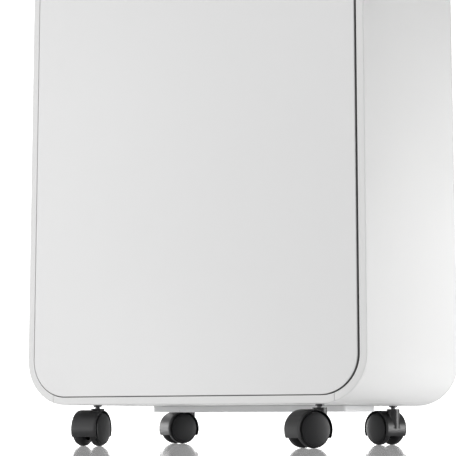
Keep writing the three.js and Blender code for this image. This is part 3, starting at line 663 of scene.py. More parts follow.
def caster_hood(corner):
    boss_top = high(f"{corner}_caster_hood").z
    boss = rod("boss", BOSS_RADIUS, "z", WHEEL_RADIUS, boss_top, 0, 0, 64)
    mid_wall = (HOOD_INNER + HOOD_RADIUS) / 2
    cut(boss, rod("drum", mid_wall, "y", -10, 10, -TRAIL, WHEEL_RADIUS, 90))
    hood = join(hood_shell(), boss)
    skirt = box("skirt", -60, 60, -30, 30, -10, HOOD_SKIRT)
    bore = rod("bore", 2.8, "z", 31.6, boss_top + 1, 0, 0, 32)
    axle_bore = rod("bore", 2.2, "y", -5, 5, -TRAIL, WHEEL_RADIUS, 32)
    cut(hood, skirt, bore, axle_bore)
    soften(hood, 0.4)
    turned(hood, caster_frame(corner))
    hood.name = f"{corner}_hood"
    dress(hood, CASTER_BLACK, f"{corner}_caster", "caster_black", f"{corner}_caster_hood")


def caster_wheel(corner, letter, side):
    """A wheel with a domed cap, a groove round it and a tread that falls away towards the other wheel."""
    cap, foot, rise = 16.2, 14.4, 1.6
    dome = [(cap * math.sin(t), foot + rise * math.cos(t)) for t in quarter(10)]
    groove = [(cap, 13.0), (cap - 0.5, 12.5), (cap - 0.1, 12.2)]
    crown = [(16.9, 12.2), (17.5, 12.0), (17.9, 11.6), (18, 11.0), (18, 8.0), (17.85, 7.0), (17.4, 6.0)]
    crown += [(16.6, 5.1), (15.4, 4.4), (13.9, 3.8), (12.4, 3.5)]
    inside = [(11.8, 3.4), (11.4, 4.2), (11.4, 9.5), (6.2, 9.5), (5.6, 4.2), (5.2, 3.4), (2.3, 3.4)]
    inside += [(2.3, 12.6), (0, 12.6)]
    wheel = on_axle(lathe("wheel", dome + groove + crown + inside, 72), -90 * side)
    smooth(wheel, 34)
    turned(wheel, caster_frame(corner))
    wheel.name = name = f"{corner}_wheel_{letter}"
    dress(wheel, WHEEL_BLACK, name, "wheel_black", f"{corner}_caster_wheel_{letter}")


def caster_stem(corner):
    top = high(f"{corner}_caster_stem").z
    profile = [(0, 32), (2.1, 32), (2.5, 32.4), (2.5, 40.8), (2.8, 41.1), (4.2, 41.3), (4.6, 41.6)]
    profile += [(4.6, 42.4), (4.3, 42.7), (3.5, 42.7), (3.5, top - 7), (3.2, top - 6.6), (3.2, top - 5)]
    profile += [(3.5, top - 4.6), (3.5, top - 1), (2.6, top), (0, top)]
    stem = smooth(lathe(f"{corner}_stem", profile, 40), 34)
    turned(stem, caster_frame(corner))
    dress(stem, STEM_STEEL, "casing", "stem_steel", f"{corner}_caster_stem")


def caster_axle(corner):
    profile = [(0, -12.4), (1.6, -12.4), (2, -12), (2, 12), (1.6, 12.4), (0, 12.4)]
    axle = on_axle(smooth(lathe(f"{corner}_axle", profile, 32), 34), 90)
    turned(axle, caster_frame(corner))
    dress(axle, STEM_STEEL, f"{corner}_caster", "stem_steel", f"{corner}_caster_axle")


for corner in CORNERS:
    caster_hood(corner)
    caster_wheel(corner, "a", 1)
    caster_wheel(corner, "b", -1)
    caster_stem(corner)
    caster_axle(corner)


# ---------- Rear cover ----------
def rear_cover():
    """A flat cover with openings for the intake, tank, gland and drain, and two countersunk screw holes."""
    fillet = 2
    levels = [(WALL, BACK - WALL), (WALL, COVER_FRONT), (0.4, COVER_FRONT), (0, COVER_FRONT + 0.4)]
    levels += [(fillet - r, BACK - fillet + s) for r, s in arc(0, 0, fillet, 0, 90, 5)]
    cover = stack("rear_skin", casing, "y", levels)
    lower, upper = corners("intake_grille")
    size = (upper.x - lower.x + 0.6, upper.z - lower.z + 0.6)
    intake = rounded(*size, 12, 0, (lower.z + upper.z) / 2, 10)
    tank = high("water_tank")
    mouth = rounded(2 * tank.x + 0.8, tank.z + 0.4 + 17, 12, 0, (tank.z + 0.4 - 17) / 2, 10)
    through = (SHELL_BACK - 1, BACK + 1)
    tools = [prism("opening", plan, "y", *through) for plan in (intake, mouth)]
    for node, radius, steps in (("cord_gland", 9, 48), ("drain_spigot", 14, 64)):
        middle = middle_of(node)
        tools.append(rod("hole", radius, "y", *through, middle.x, middle.z, steps))
    for word in ("left", "right"):
        screw = middle_of(f"{word}_rear_screw")
        tools.append(rod("screw", 2.4, "y", *through, screw.x, screw.z, 32))
        tools.append(rod("screw", 4.6, "y", BACK - 1.7, BACK + 1, screw.x, screw.z, 32))
    cut(cover, *tools)
    soften(cover, 0.4)
    dress(cover, SATIN_WHITE, "casing", "white_satin", "rear_cover")


rear_cover()


# ---------- Control fascia, display and buttons ----------
BUTTONS = ("power", "mode", "humidity_down", "humidity_up", "fan_speed", "timer")
SKIRT = 1.6  # the ledge round a key's foot
DISPLAY = middle_of("display_window")
display_plan = inset_plan(54, 24, 3, DISPLAY.x, DISPLAY.y, 6)


def key_plan(node):
    """A key's outline by inset, inside its skirt."""
    lower, upper = low(node) + Vector((SKIRT, SKIRT, 0)), high(node) - Vector((SKIRT, SKIRT, 0))
    width, depth = upper.x - lower.x, upper.y - lower.y
    middle = (lower + upper) / 2
    return inset_plan(width, depth, depth / 2 - 0.1, middle.x, middle.y, 12)


def control_fascia():
    plan = opening_plan("control_fascia", 10)
    foot = low("control_fascia").z
    levels = [(-FLANGE, foot), (-FLANGE, foot + 2), (0, foot + 2)]
    levels += [(0, TOP - 0.7), (0.2, TOP - 0.2), (0.7, TOP)]
    plate = stack("fascia", plan, "z", levels)
    tools = [prism("underside", plan(FLANGE), "z", foot - 1, TOP - WALL)]
    for hole in [display_plan] + [key_plan(f"button_{word}") for word in BUTTONS]:
        tools.append(prism("hole", hole(-0.3), "z", foot - 1, TOP + 1))
    cut(plate, *tools)
    soften(plate, 0.3)
    dress(plate, FASCIA_BLACK, "casing", "black_gloss", "control_fascia")


def display_window():
    foot, top = low("display_window").z, high("display_window").z
    levels = [(-1.8, foot), (-1.8, foot + 1.6), (0, foot + 1.7), (0, top - 0.4), (0.4, top)]
    lens = smooth(stack("display_lens", display_plan, "z", levels))
    dress(lens, FASCIA_BLACK, "casing", "display_lens", "display_window")


def display_digits():
    """Two seven-segment figures with every segment showing, as on an unlit display."""
    top = high("display_window").z
    long, short = 2.6, 0.55
    bar = [(-long, 0), (-long + short, -short), (long - short, -short)]
    bar += [(-u, -v) for u, v in bar]
    upright = [(-v, u) for u, v in bar]
    places = [(bar, 0, v) for v in (-6, 0, 6)] + [(upright, u, v) for v in (-3, 3) for u in (-3, 3)]
    segments = []
    for digit in (-6, 6):
        for shape, u, v in places:
            outline = [(DISPLAY.x + digit + u + a, DISPLAY.y + v + b) for a, b in shape]
            segments.append(prism("segment", outline, "z", top - 0.1, top + 0.05))
    dress(gather("display_digits", *segments), DIGIT_GREY, "casing", "display_lens")


def button(word):
    """A stadium-shaped key with a dished top."""
    node = f"button_{word}"
    foot, top = low(node).z, high(node).z
    levels = [(-SKIRT, foot), (-SKIRT, foot + 1.2), (-1.4, foot + 1.4), (0, foot + 1.4), (0, top - 0.6)]
    levels += [(0.18, top - 0.18), (0.6, top), (1.3, top), (2.2, top - 0.22), (3.6, top - 0.5)]
    levels += [(5.4, top - 0.68), (6.9, top - 0.72)]
    key = smooth(stack(node, key_plan(node), "z", levels), 40)
    dress(key, BUTTON_GREY, f"{node}_key", "button_grey", node)


control_fascia()
display_window()
display_digits()
for word in BUTTONS:
    button(word)


# ---------- Air outlet: fixed grille and lifting flap ----------
HINGE_Y = 41.8
HINGE_Z = TOP - 2.2
HINGE_BARREL = 2.1
HINGE_INNER = 131.3
HINGE_EAR = 131.8


def aerofoil(length, thickness, lean):
    """A slat's section, thick at its top and leaning by so many degrees."""
    turn = Matrix.Rotation(math.radians(lean), 2)
    half = [(0.3, -length / 2 + 0.3), (0.5, length / 4), (0.35, length / 2 - 0.5)]
    shape = [(0, length / 2)] + [(-thickness * share, v) for share, v in reversed(half)]
    shape += [(0, -length / 2)] + [(thickness * share, v) for share, v in half]
    return [tuple(turn @ Vector(p)) for p in shape]


def outlet_grille():
    """A frame with hinge ears and pin holes, seven leaning slats and three bars."""
    node = "outlet_grille"
    plan = opening_plan(node, 5)
    lower, upper = corners(node)
    side_wall, rear_wall = upper.x - FLANGE, upper.y - FLANGE
    roof = TOP - WALL - 0.3
    levels = [(-FLANGE, lower.z), (-FLANGE, roof), (3.5, roof), (3.5, lower.z)]
    frame_body = stack("outlet_frame", plan, "z", levels, cyclic=True)
    ears = []
    for side in (-1, 1):
        ends = (side * HINGE_EAR, side * (side_wall - 0.2))
        ears.append(soften(box("ear", *ends, HINGE_Y - 4, rear_wall - 0.6, roof - 1, TOP - 0.2), 0.4))
    cut(frame_body, box("relief", -HINGE_EAR, HINGE_EAR, rear_wall - 6, rear_wall, roof - 1.7, TOP))
    join(frame_body, *ears)
    cut(frame_body, rod("pin", 1.3, "x", -HINGE_EAR - 3, HINGE_EAR + 3, HINGE_Y, HINGE_Z, 24))
    soften(frame_body, 0.3)
    slats = []
    reach = side_wall - 3
    for i in range(-3, 4):
        outline = [(i * 10.5 + y, lower.z + 5.2 + z) for y, z in aerofoil(8, 1.8, 12 * i / 3)]
        slats.append(smooth(prism("slat", outline, "x", -reach, reach), 50))
    for x in (-66, 0, 66):
        slats.append(box("bar", x - 0.9, x + 0.9, lower.y + 7, upper.y - 7, lower.z + 1.5, lower.z + 7))
    grille = gather("outlet_grille_mesh", frame_body, *slats)
    dress(grille, SATIN_WHITE, "casing", "white_satin", node)


def louvre_flap():
    """A plate hinged at its rear edge, with shallow grooves and a finger scoop at its front edge."""
    roof = TOP - WALL
    levels = [(0.9, roof), (0.3, roof + 0.6), (0.3, TOP - 0.8), (0.5, TOP - 0.25), (1.1, TOP)]
    plate = stack("flap", opening_plan("outlet_grille", 5), "z", levels)
    tools = [box("rear", -HALF, HALF, HINGE_Y, BACK, roof - 1, TOP + 1)]
    for side in (-1, 1):
        tools.append(box("gap", side * HINGE_INNER, side * HALF, HINGE_Y - 6, BACK, roof - 1, TOP + 1))
    for y in (-28, -14, 0, 14, 28):
        tools.append(prism("groove", rounded(244, 1.6, 0.7, 0, y, 4), "z", TOP - 0.7, TOP + 1))
    front = low("louvre_flap").y
    tools.append(prism("scoop", rounded(46, 12, 5.5, 0, front, 10), "z", TOP - 1.2, TOP + 1))
    cut(plate, *tools)
    soften(plate, 0.35)
    barrel = rod("barrel", HINGE_BARREL, "x", -HINGE_INNER, HINGE_INNER, HINGE_Y, HINGE_Z, 32)
    pin = rod("pin", 1, "x", -HINGE_EAR - 2.4, HINGE_EAR + 2.4, HINGE_Y, HINGE_Z, 20)
    ribs = [box("rib", x - 1, x + 1, -36, 36, roof - 3, roof + 0.5) for x in (-70, 0, 70)]
    flap = gather("louvre_flap_mesh", plate, soften(barrel, 0.3), smooth(pin), *ribs)
    dress(flap, PANEL_WHITE, "outlet_flap", "white_panel", "louvre_flap")


outlet_grille()
louvre_flap()


# ---------- Intake grille and air filter ----------
def intake_plan(node):
    lower, upper = corners(node)
    return inset_plan(upper.x - lower.x, upper.z - lower.z, 11.7, 0, (lower.z + upper.z) / 2, 10)


def intake_grille():
    """A louvred plate: two columns of rounded slots, a centre bar and a finger pull."""
    node = "intake_grille"
    lower, upper = corners(node)
    levels = [(2.5, BACK - WALL), (2.5, lower.y), (0, lower.y)]
    levels += [(0, BACK - 0.7), (0.2, BACK - 0.2), (0.7, BACK)]
    plate = stack("intake", intake_plan(node), "y", levels)
    slots = []
    z = lower.z - 0.3 + 14
    while z <= upper.z + 0.3 - 30:
        for x in (-71.5, 71.5):
            slots.append(prism("slot", rounded(128, 9, 3, x, z + 4.5, 5), "y", BACK - WALL - 1, BACK + 1))
        z += 17
    cut(plate, gather("slots", *slots))
    cut(plate, prism("pull", rounded(60, 10, 4.9, 0, upper.z + 0.3 - 13, 8), "y", BACK - 1.8, BACK + 1))
    soften(plate, 0.45)
    dress(plate, SATIN_WHITE, "rear_intake", "white_satin", node)


def air_filter():
    """A frame with a cross of ribs and a woven net, one strand every three millimetres or so."""
    node = "air_filter"
    lower, upper = corners(node)
    middle = (lower.z + upper.z) / 2
    levels = [(0, lower.y), (0, upper.y), (8.5, upper.y), (8.5, lower.y)]
    parts = [soften(stack("filter_frame", intake_plan(node), "y", levels, cyclic=True), 0.5)]
    reach, rise = upper.x - 7, (upper.z - lower.z) / 2 - 7
    thick = (lower.y + 0.3, upper.y - 0.4)
    parts.append(soften(box("rib", -reach, reach, *thick, middle - 2, middle + 2), 0.4))
    for x in (-74, 0, 74):
        parts.append(soften(box("rib", x - 1.5, x + 1.5, *thick, middle - rise, middle + rise), 0.4))
    dress(gather("filter_frame_mesh", *parts), BLACK_SATIN, "rear_intake", "black_satin", node)
    strands = []
    mid_y = upper.y - 1.6
    columns, rows = 84, 74
    for i in range(1, columns):
        x = -reach + 2 * reach * i / columns
        strands.append(box("strand", x - 0.25, x + 0.25, mid_y - 0.3, mid_y, middle - rise, middle + rise))
    for i in range(1, rows):
        z = middle - rise + 2 * rise * i / rows
        strands.append(box("strand", -reach, reach, mid_y - 0.1, mid_y + 0.2, z - 0.25, z + 0.25))
    dress(gather("filter_net", *strands), NET_GREY, "rear_intake", "filter_mesh", node)


intake_grille()
air_filter()


# ---------- Cord gland, drain outlet and screws ----------
def along_y(obj, x, y, z):
    """Lays a lathed piece's axis along Y and puts its foot at that place."""
    turned(obj, rotation(-90, "X"))
    return moved(obj, x, y, z)


def cord_gland():
    node = "cord_gland"
    foot, middle = low(node).y, middle_of(node)
    length = high(node).y - foot
    seat = BACK - WALL - 0.3 - foot
    profile = [(4, 0.6), (4.6, 0), (12.4, 0), (13, 0.6), (13, seat - 0.4), (12.6, seat), (8.7, seat)]
    profile += [(8.7, length - 0.7), (8.1, length), (7.2, length), (6.9, length - 0.5)]
    profile += [(6.2, length - 0.5), (5.9, length), (4.7, length), (4, length - 0.7)]
    body = smooth(revolve("gland", profile, 64), 30)
    along_y(body, middle.x, foot, middle.z)
    dress(body, BLACK_SATIN, "casing", "black_satin", node)


def drain_spigot():
    """A ribbed hose tail inside, opening into a cup that the cap's rim sits in."""
    node = "drain_spigot"
    foot, middle = low(node).y, middle_of(node)
    back = high(node).y - foot
    cup = back - 14
    profile = [(4.4, 0.5), (4.9, 0), (5.6, 0), (6.4, 0.9), (6.4, 2.4), (6.0, 2.8), (6.4, 4.6), (6.0, 5)]
    profile += [(6.4, 6.8), (6.4, cup), (17.2, cup), (18, cup + 0.8), (18, back - 0.5), (17.5, back)]
    profile += [(14.5, back), (14, back - 0.5), (14, cup + 4.2), (12.8, cup + 3), (6.4, cup + 3)]
    profile += [(6.4, back - 2.6), (5.9, back - 2), (4.9, back - 2), (4.4, back - 2.5)]
    body = smooth(revolve("spigot", profile, 64), 34)
    along_y(body, middle.x, foot, middle.z)
    dress(body, CUP_GREY, "casing", "pale_grey", node)


def ring_of(count, radius, cx, cz, offset=0):
    """Places evenly spaced round a circle, the first one at a share of a step."""
    angles = [2 * math.pi * (i + offset) / count for i in range(count)]
    return [(cx + radius * math.cos(a), cz + radius * math.sin(a)) for a in angles]


def drain_cap():
    """A plug with a ribbed rim and a bar to pull it by."""
    node = "drain_cap"
    lower, upper = corners(node)
    middle = middle_of(node)
    face = upper.y - 3.2
    height = face - lower.y
    profile = [(6.8, 0.5), (7.3, 0), (9.3, 0), (9.8, 0.6), (9.8, height - 0.8), (9, height), (0, height)]
    profile += [(0, height - 1), (6.3, height - 1), (6.8, height - 1.5)]
    cap = along_y(revolve("cap", profile, 72), middle.x, lower.y, middle.z)
    places = ring_of(24, 9.7, middle.x, middle.z)
    ribs = [rod("rib", 0.3, "y", lower.y + 1, face - 1.2, *place, 8) for place in places]
    grip = box("grip", middle.x - 7, middle.x + 7, face - 0.5, upper.y, middle.z - 1.6, middle.z + 1.6)
    whole = gather("drain_cap_mesh", smooth(cap, 34), soften(grip, 0.7, 3), *ribs)
    dress(whole, BLACK_SATIN, "drain_plug", "black_satin", node)


def rear_screw(word):
    """A pan head with a cross recess, and a threaded shank."""
    node = f"{word}_rear_screw"
    lower, upper = corners(node)
    middle = middle_of(node)
    length = upper.y - lower.y
    shank, turns = length - 1.5, 10
    pitch = (shank - 2.2) / turns
    profile = [(0, 0), (1.2, 1.6)]
    for i in range(turns):
        profile += [(1.5, 1.8 + pitch * i), (2, 1.8 + pitch * (i + 0.5))]
    profile += [(1.6, shank - 0.2), (1.6, shank), (4.1, shank), (4.2, shank + 0.2)]
    profile += [(4.0, length - 0.5), (3.2, length - 0.12), (0, length)]
    screw = along_y(lathe("screw", profile, 40), middle.x, lower.y, middle.z)
    x, y, z = middle.x, upper.y, middle.z
    arms = (2.4, 0.45), (0.45, 2.4)
    cut(screw, *(box("recess", x - a, x + a, y - 1, y + 1, z - b, z + b) for a, b in arms))
    smooth(screw, 30)
    dress(screw, SCREW_STEEL, "casing", "screw_steel", node)


cord_gland()
drain_spigot()
drain_cap()
for word in ("left", "right"):
    rear_screw(word)


# ---------- Water tank, lid, handle and float ----------
BAIL_Y, BAIL_Z = 60, 241
FILL_Y = 97


def water_tank():
    """A rounded tub with a door for its back, a finger pocket in the door and two level marks."""
    node = "water_tank"
    lower, upper = corners(node)
    front, back, rim = lower.y, BACK - WALL, 232
    foot = UNDERSIDE + WALL + 0.6
    wall = 2.5
    plan = inset_plan(224, back - front, 8, 0, (front + back) / 2, 8, least=2)
    levels = [(5, foot), (1.6, foot + 1), (0.4, foot + 4), (0, foot + 14), (0, rim - 0.4), (0.3, rim)]
    levels += [(wall - 0.3, rim), (wall, rim - 0.4), (wall, foot + 14), (wall + 0.4, foot + 6)]
    shell = smooth(stack("tub", plan, "z", levels + [(wall + 5, foot + 2.6)]), 45)
    sill = UNDERSIDE + 0.3
    door_plan = inset_plan(2 * upper.x, upper.z - sill, 11.6, 0, (upper.z + sill) / 2, 10)
    door = stack("door", door_plan, "y", [(0, back), (0, BACK - 0.8), (0.25, BACK - 0.25), (0.8, BACK)])
    pocket = inset_plan(84, 30, 8, 0, 209, 8)
    marks = [soften(box("mark", -100, -76, BACK - 0.9, BACK - 0.05, z, z + 1.4), 0.3) for z in (90, 180)]
    body = join(door, prism("pocket", pocket(-2), "y", back - 22, back + 0.5))
    hollow = [(2.5, back - 20), (0.4, back - 18), (0, back - 14), (0, BACK + 1)]
    cut(body, stack("hollow", pocket, "y", hollow))
    soften(body, 0.4)
    brackets = []
    for side in (-1, 1):
        bracket = box("bracket", -60 + side * 28, -60 + side * 31, front + 1, 9, 72, 84)
        brackets.append(soften(bracket, 0.5))
    tank = gather("water_tank_mesh", shell, body, *brackets, *marks)
    dress(tank, TANK_CLEAR, "tank", "tank_clear", node)


def tank_lid():
    """A plate with a lip inside the tub, a collared mouth and two ears for the handle's pins."""
    node = "tank_lid"
    lower, upper = corners(node)
    bottom, top, lip = 232.3, 235.3, 2.6
    plan = inset_plan(upper.x - lower.x, upper.y - lower.y, 8, 0, (lower.y + upper.y) / 2, 8)
    levels = [(lip + 1.6, bottom), (lip + 1.6, 229.4), (lip + 0.2, 229.2), (lip, bottom), (0.3, bottom)]
    levels += [(0, bottom + 0.5), (0, top - 0.7), (0.7, top), (9, top), (9.8, top - 0.7)]
    plate = stack("lid", plan, "z", levels)
    join(plate, prism("collar", rounded(64, 34, 5, 0, FILL_Y, 6), "z", bottom, top + 2))
    cut(plate, prism("mouth", rounded(60, 30, 3, 0, FILL_Y, 6), "z", bottom - 6, top + 3))
    soften(plate, 0.4)
    outline = [(52, top - 0.6), (68, top - 0.6), (64.4, 244), (62.4, 245), (57.6, 245), (55.6, 244)]
    ears = []
    for side in (-1, 1):
        ear = prism("ear", outline, "x", side * 97, side * 100)
        cut(ear, rod("hole", 2.3, "x", side * 96, side * 101, BAIL_Y, BAIL_Z, 24))
        ears.append(soften(ear, 0.4))
    dress(gather("tank_lid_mesh", plate, *ears), SATIN_WHITE, "tank", "white_satin", node)


def tank_handle():
    """A flat bail with round corners, on two pins."""
    node = "tank_handle"
    lower, upper = corners(node)
    arm = 4
    end, width = BAIL_Y + arm, upper.x - lower.x
    outer = rounded(width, 2 * (end - lower.y), 9, 0, end, 8)
    inner = rounded(width - 2 * arm, 2 * (BAIL_Y - arm - lower.y), 5.2, 0, end, 8)
    bail = prism("bail", outer, "z", lower.z, upper.z)
    inside = prism("inside", inner, "z", lower.z - 1, upper.z + 1)
    cut(bail, inside, box("half", -200, 200, end, 200, 200, 260))
    soften(bail, 1.1, 3)
    pins = [rod("pin", 1.9, "x", side * 96.6, side * 101, BAIL_Y, BAIL_Z, 24) for side in (-1, 1)]
    handle = gather("tank_handle_mesh", bail, *(smooth(pin) for pin in pins))
    dress(handle, SATIN_WHITE, "tank_bail", "white_satin", node)


def tank_float():
    """A foam block on two arms that turn on a pivot."""
    node = "tank_float"
    lower, upper = corners(node)
    middle = middle_of(node)
    block = box("block", middle.x - 26, middle.x + 26, upper.y - 38, upper.y, upper.z - 26, upper.z)
    parts = [soften(block, 2.4, 4)]
    for x in (middle.x - 20, middle.x + 20):
        parts.append(soften(box("arm", x - 1.5, x + 1.5, lower.y, upper.y - 36, 75, 81), 0.5))
    parts.append(smooth(rod("pivot", 2, "x", lower.x, upper.x, 3, 78, 24)))
    dress(gather("tank_float_mesh", *parts), FOAM, "tank_float_arm", "float_foam", node)


water_tank()
tank_lid()
tank_handle()
tank_float()


# ---------- Deck, drip tray and coils ----------
DECK_TOP = high("deck").z
SPOUT_Y = 98
PIPE_X, PIPE_Y = -152, -36


def deck():
    lower, upper = corners("deck")
    plan = rounded(2 * upper.x, upper.y - lower.y, 4, 0, (lower.y + upper.y) / 2)
    plate = prism("deck_plate", plan, "z", lower.z, upper.z)
    holes = (10, middle_of("drip_tray").x, SPOUT_Y), (9, PIPE_X, PIPE_Y)
    cut(plate, *(rod("hole", radius, "z", lower.z - 1, upper.z + 1, x, y) for radius, x, y in holes))
    soften(plate, 0.5)
    dress(plate, SATIN_WHITE, "casing", "white_satin", "deck")


def drip_tray():
    node = "drip_tray"
    lower, upper = corners(node)
    bottom = DECK_TOP + 0.3
    plan = inset_plan(2 * upper.x, upper.y - lower.y, 5, 0, (lower.y + upper.y) / 2, 6)
    levels = [(1, bottom), (0, bottom + 1), (0, upper.z - 0.3), (0.4, upper.z), (1.6, upper.z)]
    levels += [(2, upper.z - 0.4), (2, bottom + 3), (3, bottom + 2)]
    tray = stack("tray", plan, "z", levels)
    join(tray, rod("spout", 8, "z", lower.z, bottom + 1, 0, SPOUT_Y))
    cut(tray, rod("bore", 5.5, "z", lower.z - 1, bottom + 3, 0, SPOUT_Y))
    smooth(tray, 40)
    dress(tray, SATIN_WHITE, "casing", "white_satin", node)


def coil(node):
    """Separate fins on rows of copper tube, with hairpin bends outside the end plates."""
    lower, upper = corners(node)
    y0, y1 = lower.y + 1, upper.y - 1
    reach = upper.x - 9
    gaps, rows = 92, 12
    sheets = []
    for i in range(gaps + 1):
        x = -reach + 2 * reach * i / gaps
        sheets.append(box("fin", x - 0.16, x + 0.16, y0, y1, lower.z + 3, upper.z - 3))
    for side in (-1, 1):
        near, far, edge = (side * (reach + more) for more in (0.6, 1.8, 5))
        sheets.append(soften(box("plate", near, far, lower.y, upper.y, lower.z, upper.z), 0.4))
        sheets.append(soften(box("lip", far, edge, lower.y, lower.y + 1.2, lower.z, upper.z), 0.4))
    dress(gather(f"{node}_fins", *sheets), ALUMINIUM, "casing", "coil_aluminium", node)
    pitch = (upper.z - lower.z - 20) / (rows - 1)
    heights = [lower.z + 10 + pitch * i for i in range(rows)]
    flat = 5.2 / (pitch / 2)  # the bends are pressed short to stay inside the end lips
    passes = []
    for bank, y in enumerate((y0 + 5.5, y1 - 5.5)):
        passes += [rod("pass", 3, "x", -reach - 2.5, reach + 2.5, y, z, 14) for z in heights]
        for i, z in enumerate(heights[:-1]):
            side = 1 if (i + bank) % 2 else -1
            bend = arc(0, pitch / 2, pitch / 2, -90, 90, 10)
            path = [(side * (reach + 2 + u * flat), y, z + v) for u, v in bend]
            passes.append(tube("bend", path, 2.6, 12))
    dress(smooth(gather(f"{node}_tubes", *passes), 50), COPPER, "casing", "pipe_copper", node)


deck()
drip_tray()
coil("evaporator")
coil("condenser")


# ---------- Fan: scroll housing, impeller and motor ----------
FAN_Z = middle_of("fan_impeller").z
SCROLL_START = 100


def scroll_plan(inset):
    """The volute: a straight-sided mouth above a spiral that opens from left to right."""
    half, top = high("fan_scroll").x, high("fan_scroll").z
    points = [(half - inset, top), (-half + inset, top), (-half + inset, FAN_Z + 90)]
    steps = 60
    for i in range(steps + 1):
        share = i / steps
        angle = math.pi * (1 + share)
        radius = SCROLL_START + (half - SCROLL_START) * share - inset
        points.append((radius * math.cos(angle), FAN_Z + radius * math.sin(angle)))
    return points


def fan_scroll():
    """The volute's housing on two feet, open at its mouth, with an inlet behind and a shaft hole in front."""
    node = "fan_scroll"
    lower, upper = corners(node)
    wall = 2.5
    front, back = lower.y + wall, upper.y - wall
    body = prism("scroll", scroll_plan(0), "y", lower.y, upper.y)
    low_z, high_z = DECK_TOP + 0.3, FAN_Z - 96
    join(body, *(box("foot", x - 5, x + 5, lower.y + 10, upper.y - 10, low_z, high_z) for x in (-55, 55)))
    half = upper.x - wall
    inside = prism("inside", scroll_plan(wall), "y", front, back)
    mouth = box("mouth", -half, half, front, back, upper.z - 20, upper.z + 1)
    inlet = rod("inlet", 76, "y", back - 1, upper.y + 1, 0, FAN_Z, 72)
    shaft = rod("shaft", 6, "y", lower.y - 1, front + 1, 0, FAN_Z, 32)
    cut(body, inside, mouth, inlet, shaft)
    soften(body, 0.6)
    dress(body, SATIN_WHITE, "casing", "white_satin", node)


def fan_impeller():
    """A forward-curved wheel: a back disc, a hub and a ring of curved blades."""
    node = "fan_impeller"
    lower, upper = corners(node)
    radius, inner = 86, 70
    depth = upper.y - lower.y
    disc = [(4.3, 0), (radius - 0.6, 0), (radius, 0.6), (radius, 2.4), (radius - 0.6, 3), (30, 3), (14, 12)]
    disc += [(13, 23.4), (12.4, 24), (5, 24), (4.3, 23.4)]
    ring = [(inner, depth - 3), (radius, depth - 3), (radius, depth - 0.5), (radius - 0.5, depth)]
    ring += [(inner + 1.5, depth), (inner, depth - 1)]
    parts = [revolve("disc", disc, 96), revolve("ring", ring, 96)]
    for part in parts:
        along_y(smooth(part, 34), 0, lower.y, FAN_Z)
    blades = 40
    for i in range(blades):
        start = 2 * math.pi * i / blades
        outline = []
        for offset, order in ((0, range(7)), (0.9, reversed(range(7)))):
            for share in (j / 6 for j in order):
                reach = inner + 1 + (radius - inner - 2) * share
                angle = start + 0.16 * share * share + offset / reach
                outline.append((reach * math.cos(angle), FAN_Z + reach * math.sin(angle)))
        parts.append(smooth(prism("blade", outline, "y", lower.y + 2.5, upper.y - 2.5), 60))
    dress(gather("fan_impeller_mesh", *parts), BLACK_SATIN, "fan_wheel", "black_satin", node)


def fan_motor():
    """A banded can with vents and a shaft, on a post and a bolted foot plate."""
    node = "fan_motor"
    front, whole = low(node).y, high(node).y - low(node).y
    length = 66
    profile = [(0, 0), (26.5, 0), (28, 1.5), (28, 9), (30, 10.5), (38.5, 10.5), (40, 12)]
    for groove in (20, length - 13):
        profile += [(40, groove), (39.2, groove + 0.4), (39.2, groove + 2.6), (40, groove + 3)]
    profile += [(40, length - 1.5), (38.5, length), (10, length), (9, length + 2), (4, length + 2)]
    profile += [(4, whole - 0.5), (3.5, whole), (0, whole)]
    body = along_y(smooth(lathe("motor", profile, 80), 30), 0, front, FAN_Z)
    places = ring_of(12, 34, 0, FAN_Z, 0.4)
    cut(body, *(rod("vent", 2.4, "y", front + 9, front + 13, *place, 16) for place in places))
    smooth(body, 30)
    foot = DECK_TOP + 0.3
    post = box("post", -26, 26, front + 28, front + 46, foot, FAN_Z - 30)
    plate = box("plate", -34, 34, front + 18, front + 56, foot, foot + 3.7)
    bolts = [rod("bolt", 3.6, "z", foot + 3.5, foot + 6, x, front + 23, 6) for x in (-30, 30)]
    motor = gather("fan_motor_mesh", body, soften(post, 1.5, 3), soften(plate, 0.8), *bolts)
    dress(motor, MOTOR_STEEL, "casing", "motor_steel", node)


fan_scroll()
fan_impeller()
fan_motor()


# ---------- Compressor, refrigerant pipe and circuit board ----------
CAN_X, CAN_Y, CAN_RADIUS = -78, -66, 46


